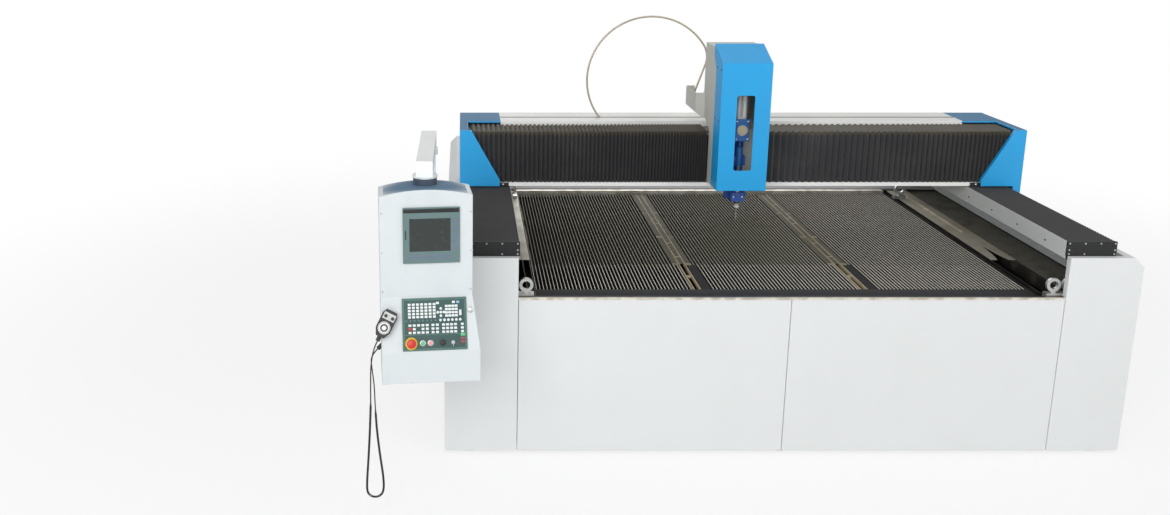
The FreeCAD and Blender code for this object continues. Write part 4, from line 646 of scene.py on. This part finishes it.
def beam_cover(name, node, pitches):
    low, high = (Vector(corner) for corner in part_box(node))
    scale = (high.x - low.x) / sum(pitches)
    places = []
    x = low.x
    for pitch in pitches:
        places.append(at(x, 0, 0) @ Matrix.Diagonal((pitch * scale, 1, 1, 1)))
        x += pitch * scale
    cover = spread(name, beam_pleat(low, high), places)
    whole(cover, bpy.ops.mesh.remove_doubles, threshold=0.0001)
    whole(cover, bpy.ops.mesh.normals_make_consistent, inside=False)
    cloth = cover.modifiers.new("cloth", "SOLIDIFY")
    cloth.thickness = CLOTH
    cloth.offset = 0.0
    bpy.ops.object.modifier_apply(modifier="cloth")
    dress(cover, None, pleat_black, 20)
    cover.data.materials.append(pleat_top)
    for face in cover.data.polygons:
        if face.center.z > high.z - 0.031:
            face.material_index = 1
    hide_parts(node)
    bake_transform(cover)
    print(name, len(places), "pleats")
    return cover


LEFT_PITCHES = [1.35 - 0.7 * i / 61 for i in range(62)]
RIGHT_PITCHES = [47 - 22 * i / 47 for i in range(48)]
beam_cover("left_beam_pleats", "left_beam_bellows", LEFT_PITCHES)
beam_cover("right_beam_pleats", "right_beam_bellows", RIGHT_PITCHES)

# %% [markdown]
# The rail covers on both sides are the same idea lying down: a strip across the rail with a ridge every few
# centimetres, and a skirt down its outer side. Each lies between the bed and the gantry.

# %% Pleated covers of the rails
RIDGE = 0.011


def rail_pleat(low, high):
    """One pleat from y = 0 to y = 1 over the right rail."""
    only(None)
    bpy.ops.mesh.primitive_plane_add(size=1, location=(0, 0.25, high.z - RIDGE))
    piece = settle("rail_pleat")
    pick(piece, lambda point: True)
    bpy.ops.transform.resize(value=(high.x - low.x, 0.5, 1), center_override=(0, 0.25, high.z - RIDGE))
    bpy.ops.transform.translate(value=((low.x + high.x) / 2, 0, 0))
    only(piece)
    pick(piece, lambda point: point.y > 0.4)
    bpy.ops.transform.translate(value=(0, 0, RIDGE - 0.001))
    pull(0, 0.5, 0.001 - RIDGE)
    pick(piece, lambda point: point.x > high.x - 0.01)
    bpy.ops.transform.translate(value=(-0.010, 0, 0))
    pull(0.006, 0, -0.004)
    pull(0, 0, low.z - high.z + RIDGE + 0.006)
    pick(piece, lambda point: point.x > high.x - 0.008 and 0.3 < point.y < 0.7)
    bpy.ops.transform.translate(value=(0.003, 0, 0))
    only(piece)
    return piece


def rail_cover(name, node, count):
    low, high = (Vector(corner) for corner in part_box(node))
    right_low = Vector((1.641, low.y, low.z))
    step = (high.y - low.y) / count
    places = [at(0, low.y + i * step, 0) @ Matrix.Diagonal((1, step, 1, 1)) for i in range(count)]
    cover = spread(name, rail_pleat(right_low, high), places)
    whole(cover, bpy.ops.mesh.remove_doubles, threshold=0.0001)
    twin = cover.copy()
    twin.data = cover.data.copy()
    twin.data.transform(Matrix.Diagonal((-1, 1, 1, 1)))
    bpy.context.collection.objects.link(twin)
    cover = joined(name, [cover, twin])
    whole(cover, bpy.ops.mesh.normals_make_consistent, inside=False)
    cloth = cover.modifiers.new("cloth", "SOLIDIFY")
    cloth.thickness = CLOTH
    cloth.offset = 0.0
    bpy.ops.object.modifier_apply(modifier="cloth")
    dress(cover, None, rail_pleat_black, 20)
    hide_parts(node)
    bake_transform(cover)
    print(name, count, "pleats a side")
    return cover


rail_cover("front_rail_pleats", "front_rail_bellows", 46)
rail_cover("rear_rail_pleats", "rear_rail_bellows", 54)

# %% [markdown]
# The pump feeds the head through a stiff steel tube. It stands in a wide arc on the beam and dives into the
# bracket of the carriage. A curve with a round bevel follows its centre line.

# %% High-pressure tube
TUBE_R = 0.007
TUBE_Y = 0.030
WIDE_CENTRE = (-0.587, 2.070)
WIDE_R = 0.467
TIGHT_R = 0.170


def arc(centre_xz, radius, first, last, count):
    steps = [math.radians(first + (last - first) * i / (count - 1)) for i in range(count)]
    return [Vector((centre_xz[0] + radius * math.cos(a), TUBE_Y, centre_xz[1] + radius * math.sin(a)))
            for a in steps]


TURN, END = 33.8, -20.0
tight_centre = (WIDE_CENTRE[0] + (WIDE_R - TIGHT_R) * math.cos(math.radians(TURN)),
                WIDE_CENTRE[1] + (WIDE_R - TIGHT_R) * math.sin(math.radians(TURN)))
tube_line = arc(WIDE_CENTRE, WIDE_R, 217.0, TURN, 60) + arc(tight_centre, TIGHT_R, TURN, END, 24)[1:]
dive = (tube_line[-1] - tube_line[-2]).normalized()
tube_line += [tube_line[-1] + dive * step for step in (0.10, 0.19, 0.285)]
tube_data = bpy.data.curves.new("pressure_tube", "CURVE")
tube_data.dimensions = "3D"
tube_data.bevel_depth = TUBE_R
tube_data.bevel_resolution = 3
tube_data.use_fill_caps = True
tube_spline = tube_data.splines.new("POLY")
tube_spline.points.add(len(tube_line) - 1)
for point, place in zip(tube_spline.points, tube_line):
    point.co = (*place, 1.0)
tube = bpy.data.objects.new("pressure_tube", tube_data)
bpy.context.collection.objects.link(tube)
only(tube)
bpy.ops.object.convert(target="MESH")
tube = bpy.context.object
foot_x = tube_line[0].x
foot = turned("tube_foot", [(0.014, 0.0), (0.014, 0.004), (0.010, 0.005), (0.010, 0.012), (0.007, 0.014)],
              at(foot_x, TUBE_Y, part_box("high_pressure_loop")[0][2]))
tube = joined("pressure_tube", [tube, foot])
dress(tube, None, tube_metal, 50)
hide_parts("high_pressure_loop")
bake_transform(tube)
print("tube of", len(tube_line), "points")

# %% [markdown]
# Screw heads show where sheets are fixed. One low domed head with a sunk socket is modelled, and its copies
# are pressed onto each sheet where the real ones sit.


# %% Screws
def screw(radius):
    profile = [(radius, 0.0), (radius, 0.0012), (radius * 0.82, 0.0030), (radius * 0.42, 0.0034),
               (radius * 0.40, 0.0016)]
    return turned("screw", profile, Matrix.Identity(4), 14)


LOOKING_FRONT = FACING_FRONT
LEFT_SIDE = Matrix.Rotation(math.radians(-90), 4, "Y")


def screws(name, radius, places, facing, body, material, turn=None):
    heads = spread(name, screw(radius), [at(*place) @ facing for place in places])
    if turn is not None:
        heads.data.transform(turn)
    return dress(heads, body, material, 30)


plate_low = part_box("bellows_end_plates")[0]
plate_right = [(x, plate_low[1], z) for x, z in (
    (1.650, 1.352), (1.743, 1.352), (1.836, 1.352), (1.922, 1.352), (1.650, 1.312), (1.922, 1.312),
    (1.650, 1.287), (1.743, 1.287), (1.922, 1.287))]
plate_left = [(-x, y, z) for x, y, z in plate_right]
screws("end_plate_screws", 0.0055, plate_right + plate_left, LOOKING_FRONT, "base", bright_steel)
guard_x = 1.640 - 0.004
guard_places = [(guard_x, y, 1.300) for y in (-1.45, -1.12, -0.79, -0.46, 0.25, 0.60, 0.95, 1.30)]
screws("right_guard_screws", 0.006, guard_places, LEFT_SIDE, "base", black_paint)
screws("left_guard_screws", 0.006, [(-x, y, z) for x, y, z in guard_places], LEFT_SIDE.inverted(), "base",
       black_paint)

# %% [markdown]
# Under each blue cap hangs a black wiper plate with three screws, between the cap's skirt and the rail cover.

# %% Wiper plates under the caps
for side, label in ((1, "right"), (-1, "left")):
    xs = sorted((side * 1.650, side * 1.935))
    plate = block(label + "_wiper_plate", (xs[0], -0.4310, 1.366), (xs[1], -0.4254, 1.3745 + 0.022), 0.001)
    dress(plate, "gantry", black_paint)
    places = [(side * x, -0.4310, 1.385) for x in (1.690, 1.755, 1.820)]
    screws(label + "_wiper_screws", 0.0065, places, LOOKING_FRONT, "gantry", dial_white)

# %% [markdown]
# The console's face and desk are turned a little to the operator. Two matrices hold those planes, so keys and
# buttons can be laid out on a flat sheet in metres and dropped onto it.

# %% The console's two planes
SWIVEL = at(-2.185, -2.135, 0) @ Matrix.Rotation(math.radians(5.5), 4, "Z")
DESK = SWIVEL @ at(0, -0.240, 0.965) @ Matrix.Rotation(-math.atan2(0.100, 0.280), 4, "X")
DESK_FACE = -0.008
SCREEN_FACE = -0.152


def key_block(name, turn, face, spots, size, material, height=0.0035):
    """Rounded keys centred on (x, z) spots of a console plane."""
    wide, tall = size
    model = block("key", (-wide / 2, -height, -tall / 2), (wide / 2, 0.0005, tall / 2), 0.0012)
    keys = spread(name, model, [turn @ at(x, face, z) for x, z in spots])
    return dress(keys, "console", material)


def grid(x, z, columns, rows, step_x, step_z, without=()):
    return [(x + c * step_x, z - r * step_z)
            for r in range(rows) for c in range(columns) if (c, r) not in without]


def round_keys(name, turn, face, spots, radius, material, height=0.0045):
    profile = [(radius, 0.0), (radius, height * 0.6), (radius * 0.8, height)]
    model = turned("round_key", profile, FACING_FRONT, 18)
    keys = spread(name, model, [turn @ at(x, face, z) for x, z in spots])
    return dress(keys, "console", material)


# %% [markdown]
# The keyboard is a membrane panel: a dark green field with a pale double border, white keys in blocks, a few
# coloured ones, and no lettering here.

# %% Keyboard
white_spots = grid(-0.1008, 0.2556, 7, 5, 0.0225, 0.0168) + [(0.053, 0.2608), (0.140, 0.2634)]
white_spots += grid(0.1008, 0.2430, 4, 4, 0.0178, 0.0172)
white_spots += grid(-0.0994, 0.1443, 5, 3, 0.0234, 0.0194, {(0, 1), (2, 1)})
white_spots += grid(0.0252, 0.1443, 2, 3, 0.0238, 0.0194) + grid(0.0826, 0.1443, 4, 3, 0.0218, 0.0194)
white_spots += grid(0.1848, 0.1443, 1, 3, 0.0234, 0.0194)
KEY = (0.0160, 0.0125)
key_block("white_keys", DESK, DESK_FACE, white_spots, KEY, key_white)
key_block("blue_key", DESK, DESK_FACE, [(0.164, 0.2634)], KEY, key_blue)
key_block("red_key", DESK, DESK_FACE, [(-0.0994, 0.1249)], KEY, key_red)
key_block("tall_key", DESK, DESK_FACE, [(0.1760, 0.206)], (0.0125, 0.030), key_white)
key_block("run_key", DESK, DESK_FACE, [(0.186, 0.0886)], (0.024, 0.016), key_green)
key_block("halt_keys", DESK, DESK_FACE, [(0.186, 0.0680), (0.186, 0.0500)], (0.024, 0.014), key_dull_red)
diamond = [(0.070, 0.231), (0.070, 0.192), (0.0535, 0.211), (0.0865, 0.211), (0.070, 0.211)]
round_keys("round_keys", DESK, DESK_FACE, diamond + grid(0.067, 0.1690, 6, 1, 0.0215, 0), 0.0075, key_white)
round_keys("dark_round_keys", DESK, DESK_FACE, grid(-0.118, 0.1690, 8, 1, 0.0225, 0), 0.0060, bezel_green)
border = []
for inset in (0.004, 0.009):
    x0, x1, z0, z1 = -0.140 + inset, 0.210 - inset, 0.008 + inset, 0.2893 - inset
    line = 0.0011
    for low, high in (((x0, z0), (x1, z0 + line)), ((x0, z1 - line), (x1, z1)), ((x0, z0), (x0 + line, z1)),
                      ((x1 - line, z0), (x1, z1))):
        border.append(block("line", (low[0], DESK_FACE - 0.0006, low[1]),
                            (high[0], DESK_FACE + 0.001, high[1])))
border.append(block("line", (-0.130, DESK_FACE - 0.0006, 0.093), (0.200, DESK_FACE + 0.001, 0.094)))
keyboard_border = joined("keyboard_border", border)
keyboard_border.data.transform(DESK)
dress(keyboard_border, "console", key_line)
print(len(white_spots), "white keys")

# %% [markdown]
# Along the bottom sit the hand controls: a red stop mushroom on a yellow ring, a pale green and a pink
# button, a black selector and a key on a ring. Each stands where the frame has its solid.

# %% Controls under the keyboard
ROW = 0.048
FIRST = -0.140 + 0.046


def desk_turned(name, x, profile, material, sides=32):
    piece = turned(name, profile, DESK @ at(x, DESK_FACE, ROW) @ FACING_FRONT, sides)
    return dress(piece, "console", material, 40)


desk_turned("stop_ring", FIRST, [(0.034, 0.0), (0.034, 0.004), (0.031, 0.008), (0.018, 0.0085)], stop_yellow)
stop = desk_turned("stop_mushroom", FIRST, [(0.014, 0.008), (0.014, 0.014), (0.024, 0.018), (0.025, 0.022),
                                            (0.021, 0.028), (0.010, 0.030)], stop_red)
for name, x, material in (("start_button", 0.062, key_green), ("reset_button", 0.104, key_pink)):
    desk_turned(name + "_ring", FIRST + x, [(0.016, 0.0), (0.016, 0.003), (0.013, 0.0045)], bright_steel)
    desk_turned(name, FIRST + x, [(0.012, 0.002), (0.012, 0.007), (0.010, 0.009)], material)
desk_turned("selector_knob", FIRST + 0.170, [(0.017, 0.0), (0.017, 0.004), (0.012, 0.005), (0.011, 0.017),
                                                        (0.009, 0.018)], moulded_black)
grip = block("selector_grip", (-0.0035, -0.0178, -0.015), (0.0035, -0.004, 0.015), 0.0012,
             DESK @ at(FIRST + 0.170, DESK_FACE, ROW) @ Matrix.Rotation(math.radians(35), 4, "Y"))
dress(grip, "console", moulded_black)
desk_turned("key_lock", FIRST + 0.226, [(0.011, 0.0), (0.011, 0.005), (0.008, 0.008)], bright_steel)
bow = block("key_bow", (-0.0010, -0.030, -0.008), (0.0010, -0.006, 0.008), 0.0008,
            DESK @ at(FIRST + 0.226, DESK_FACE, ROW))
dress(bow, "console", bright_steel)
only(None)
bpy.ops.mesh.primitive_torus_add(major_radius=0.010, minor_radius=0.0009, major_segments=28, minor_segments=8,
                                 rotation=(0, math.radians(90), 0))
ring = settle("key_ring")
ring.data.transform(DESK @ at(FIRST + 0.226, DESK_FACE - 0.0245, ROW - 0.012))
dress(ring, "console", bright_steel)
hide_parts("console_controls")

# %% [markdown]
# The screen is a flat display in a grey green bezel, with violet-edged keys to its right and below it.

# %% Screen
glass = block("display_glass", (-0.094, SCREEN_FACE + 0.001, 1.506),
              (0.126, SCREEN_FACE + 0.0045, 1.688), 0.0,
              SWIVEL)
dress(glass, "console", glass_dark)
strip = block("display_strip", (-0.126, SCREEN_FACE - 0.0012, 1.722),
              (0.172, SCREEN_FACE + 0.001, 1.744), 0.0005,
              SWIVEL)
dress(strip, "console", black_strip)
side_spots = [(0.152, 1.672 - 0.037 * i) for i in range(5)]
low_spots = [(-0.078 + 0.037 * i, 1.474) for i in range(6)]
key_block("violet_key_edges", SWIVEL, SCREEN_FACE, side_spots + low_spots, (0.024, 0.019), button_violet,
          0.0018)
key_block("violet_key_faces", SWIVEL, SCREEN_FACE, side_spots + low_spots, (0.019, 0.014), bezel_green,
          0.0030)
# A thin black block at the slot: painted shade inside the opening.
key_block("screen_slot_shade", SWIVEL, SCREEN_FACE, [(-0.115, 1.60)], (0.006, 0.05), black_strip,
          0.0010)
face_screws = [(x, z) for x in (-0.243, 0.236) for z in (1.28, 1.50, 1.72)]
heads = spread("console_face_screws", screw(0.005), [SWIVEL @ at(x, -0.140, z) @ FACING_FRONT
                                                     for x, z in face_screws])
dress(heads, "console", bright_steel, 30)
chrome_lock = turned("console_lock", [(0.016, 0.0), (0.016, 0.006), (0.011, 0.010), (0.006, 0.0105)],
                     DESK @ at(0.232, 0, 0.219) @ FACING_FRONT, 28)
dress(chrome_lock, "console", bright_steel, 40)

# %% [markdown]
# The pendant is moulded, so its edges are soft. A white hand wheel and a grey plate dress it.

# %% Pendant details
PENDANT = DESK @ at(-0.229, 0, 0.160) @ Matrix.Rotation(math.radians(28), 4, "Y")
WHEEL_PROFILE = [(0.034, 0.0), (0.034, 0.008), (0.029, 0.0118), (0.013, 0.0112), (0.012, 0.014),
                 (0.0004, 0.0145)]
wheel = turned("pendant_wheel", WHEEL_PROFILE,
               PENDANT @ at(0, -0.0385, -0.023) @ FACING_FRONT, 36)
dress(wheel, "console", dial_white, 40)
plate = block("pendant_plate", (-0.034, -0.0395, 0.022), (0.034, -0.0375, 0.060), 0.0008, PENDANT)
dress(plate, "console", guard_paint)

# %% [markdown]
# On the left a narrow stainless strip with a turned-up edge covers the channel beside the slats.

# %% Strip over the left channel and seal in the top rail
strip_low = block("channel_strip", (-1.602, -0.965, 1.0005), (-1.5285, 0.796, 1.0035), 0.0008)
strip_edge = block("channel_strip_edge", (-1.602, -0.965, 1.003), (-1.599, 0.796, 1.010), 0.0008)
dress(joined("channel_strip", [strip_low, strip_edge]), "base", pale_strip)
seal = block("top_rail_seal", (-1.699, 0.0135, 1.7780), (1.699, 0.0365, 1.7848), 0.0008)
dress(seal, "gantry", black_paint)

# %% [markdown]
# The slats stop short of the front lip, where a flat black shelf covers the gutter. Between the sections a
# ladder of flat bar shows: bare in the front row, and on a dull sheet in the rows behind it.

# %% Front shelf and ladders between the slats
SLAT_TOP = 0.992
SHELF_REAR = -1.513
SHEET_REAR = 0.70
HALF_SHEET = 0.062
HALF_BAR = 0.004
HALF_RUNG = 0.005
HALF_LADDER = 0.020
ROW_ENDS = (-1.032, -0.439, 0.154)
RUNGS = (-1.2527, -0.879, -0.58, -0.109, 0.02, 0.40)
shelf = block("front_shelf", (-1.529, -1.6845, SLAT_TOP + 0.0006), (1.529, SHELF_REAR, SLAT_TOP + 0.0066),
              0.001)
dress(shelf, "base", shelf_black)


def ladder_top(name, middle):
    """Sheet, a near-black sheet of painted shade over the well, and ladder bars over the gap between two
    sections of slats.
    """
    sheets = [block("sheet", (middle - HALF_SHEET, -1.02, SLAT_TOP + 0.0004),
                    (middle + HALF_SHEET, SHEET_REAR, SLAT_TOP + 0.0016))]
    # The well is a thin near-black sheet at slat height: painted shade of the open gap in the front row.
    well = block("well", (middle + 0.030, SHELF_REAR, SLAT_TOP + 0.0004),
                 (middle + 0.088, -1.04, SLAT_TOP + 0.0012))
    bars = [block("rail", (middle + x - HALF_BAR, SHELF_REAR, SLAT_TOP - 0.020),
                  (middle + x + HALF_BAR, SHEET_REAR, SLAT_TOP + 0.0034), 0.0006)
            for x in (-HALF_LADDER, HALF_LADDER)]
    for y in RUNGS:
        bars.append(block("rung", (middle - HALF_LADDER, y - HALF_RUNG, SLAT_TOP - 0.014),
                          (middle + HALF_LADDER, y + HALF_RUNG, SLAT_TOP + 0.0030), 0.0006))
    for y in ROW_ENDS:
        for side in (-1, 1):
            for shift in (-0.011, 0.011):
                ends = sorted((middle + side * 0.024, middle + side * HALF_SHEET))
                bars.append(block("tie", (ends[0], y + shift - HALF_BAR, SLAT_TOP + 0.0006),
                                  (ends[1], y + shift + HALF_BAR, SLAT_TOP + 0.0030), 0.0005))
    dress(joined(name + "_sheet", sheets), "base", dull_sheet)
    dress(well, "base", well_painted_shade)
    well.name = name + "_well"
    dress(joined(name + "_bars", bars), "base", ladder_beige)


ladder_top("left_ladder", -0.5183)
ladder_top("right_ladder", 0.5183)

# %% [markdown]
# The nozzle is a stack of small turned parts: a black collar, a white ring and a bright nut below the clamp.

# %% Rings of the nozzle
nozzle_x, nozzle_y = (sum(corner[i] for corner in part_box("cutting_nozzle")) / 2 for i in (0, 1))


def nozzle_ring(name, low, tall, radius, material):
    profile = [(radius * 0.88, 0.0), (radius, 0.0015), (radius, tall - 0.0015), (radius * 0.88, tall)]
    return dress(turned(name, profile, at(nozzle_x, nozzle_y, low), 28), "head", material, 40)


nozzle_ring("nozzle_collar", 1.2865, 0.012, 0.0150, moulded_black)
nozzle_ring("nozzle_white_ring", 1.2585, 0.011, 0.0182, dial_white)
nozzle_ring("nozzle_nut_ring", 1.2700, 0.014, 0.0178, bright_steel)

# %% [markdown]
# Inside the window the valve's square actuator shows: a blue frame with a beige disc and four white screws.

# %% Valve actuator's face
act_low, act_high = (Vector(corner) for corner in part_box("valve_actuator"))
act_x = (act_low.x + act_high.x) / 2
act_z = 1.742 + 0.152 / 2
DISC_PROFILE = [(0.0368, 0.0), (0.0368, 0.0076), (0.0345, 0.0088), (0.012, 0.009), (0.0004, 0.0086)]
disc = turned("actuator_disc", DISC_PROFILE,
              at(act_x, act_low.y + 0.0078, act_z) @ FACING_FRONT, 40)
dress(disc, "head", disc_beige, 40)
corners = [(act_x + sx * 0.038, act_low.y + 0.0078, act_z + sz * 0.062) for sx in (-1, 1) for sz in (-1, 1)]
screws("actuator_screws", 0.006, corners, LOOKING_FRONT, "head", dial_white)
clamp_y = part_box("head_slide")[0][1]
clamp_places = [(act_x + dx, clamp_y + 0.0005, 1.338) for dx in (-0.030, 0.030)]
screws("clamp_screws", 0.006, clamp_places, LOOKING_FRONT, "head", dial_white)
cover_low = Vector(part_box("carriage_cover")[0])
side_screws = [(cover_low.x + 0.0006, y, z) for y in (-0.69, -0.58) for z in (1.48, 1.90, 2.25)]
screws("cover_side_screws", 0.006, side_screws, LEFT_SIDE, "carriage", black_paint)

# %% [markdown]
# A pale floor and soft light from above, as in a bright hall. The white surround is only seen by the camera
# and in reflections, so it does not wash out the pale panels.

# %% Floor, world and lamps
FLOOR_WHITE = 0.72
only(None)
bpy.ops.mesh.primitive_plane_add(size=60)
floor = settle("hall_floor")
floor_paint = Paint("floor_pale")
floor_cloud = floor_paint.noise(0.8, 4.0)
floor.data.materials.append(floor_paint.finish(
    floor_paint.mix(floor_cloud * 0.12, tone(248, 248, 247), tone(240, 240, 239)), 0.85))
distance_out = floor_paint.node("ShaderNodeVectorMath", {"operation": "LENGTH"}, {0: floor_paint.place},
                                "Value")
seen_floor = floor_paint.node("ShaderNodeLightPath", {}, {}, "Is Camera Ray")
whiteness = seen_floor * (FLOOR_WHITE + floor_paint.band(distance_out, 3.5, 8.0) * (1 - FLOOR_WHITE))
glow = floor_paint.node("ShaderNodeEmission", {}, {"Color": (1.0, 1.0, 1.0, 1.0), "Strength": 1.0})
shaded = Wire(floor_paint, floor_paint.shader.outputs[0])
floor_mix = floor_paint.node("ShaderNodeMixShader", {}, {0: whiteness, 1: shaded, 2: glow})
floor_paint.plug(floor_paint.tree.nodes["Material Output"].inputs["Surface"], floor_mix)

world = bpy.data.worlds.new("hall_light")
bpy.context.scene.world = world
world.use_nodes = True
tree = world.node_tree
tree.nodes.clear()
rays = tree.nodes.new("ShaderNodeLightPath")
soft = tree.nodes.new("ShaderNodeBackground")
soft.inputs["Color"].default_value = (0.97, 0.98, 1.0, 1.0)
soft.inputs["Strength"].default_value = 0.40
white = tree.nodes.new("ShaderNodeBackground")
white.inputs["Color"].default_value = (1.0, 1.0, 1.0, 1.0)
white.inputs["Strength"].default_value = 1.0
seen = tree.nodes.new("ShaderNodeMath")
seen.operation = "MAXIMUM"
seen_too = tree.nodes.new("ShaderNodeMath")
seen_too.operation = "MAXIMUM"
choice = tree.nodes.new("ShaderNodeMixShader")
surround = tree.nodes.new("ShaderNodeOutputWorld")
tree.links.new(rays.outputs["Is Camera Ray"], seen.inputs[0])
tree.links.new(rays.outputs["Is Glossy Ray"], seen.inputs[1])
tree.links.new(seen.outputs[0], seen_too.inputs[0])
tree.links.new(rays.outputs["Is Transmission Ray"], seen_too.inputs[1])
tree.links.new(seen_too.outputs[0], choice.inputs[0])
tree.links.new(soft.outputs[0], choice.inputs[1])
tree.links.new(white.outputs[0], choice.inputs[2])
tree.links.new(choice.outputs[0], surround.inputs[0])


def lamp(name, place, aim, size, power):
    data = bpy.data.lights.new(name, "AREA")
    data.size = size
    data.energy = power
    light = bpy.data.objects.new(name, data)
    bpy.context.collection.objects.link(light)
    light.location = place
    light.rotation_euler = (Vector(aim) - Vector(place)).to_track_quat("-Z", "Y").to_euler()
    return light


lamp("key_lamp", (-4.0, -9.0, 5.2), (0, -0.5, 1.0), 6.0, 440)
lamp("fill_lamp", (6.5, -7.0, 4.6), (0.5, 0, 1.2), 6.0, 230)
lamp("back_lamp", (0.0, 8.0, 5.5), (0, 0, 1.5), 7.0, 260)
bpy.context.scene.view_settings.view_transform = "Standard"
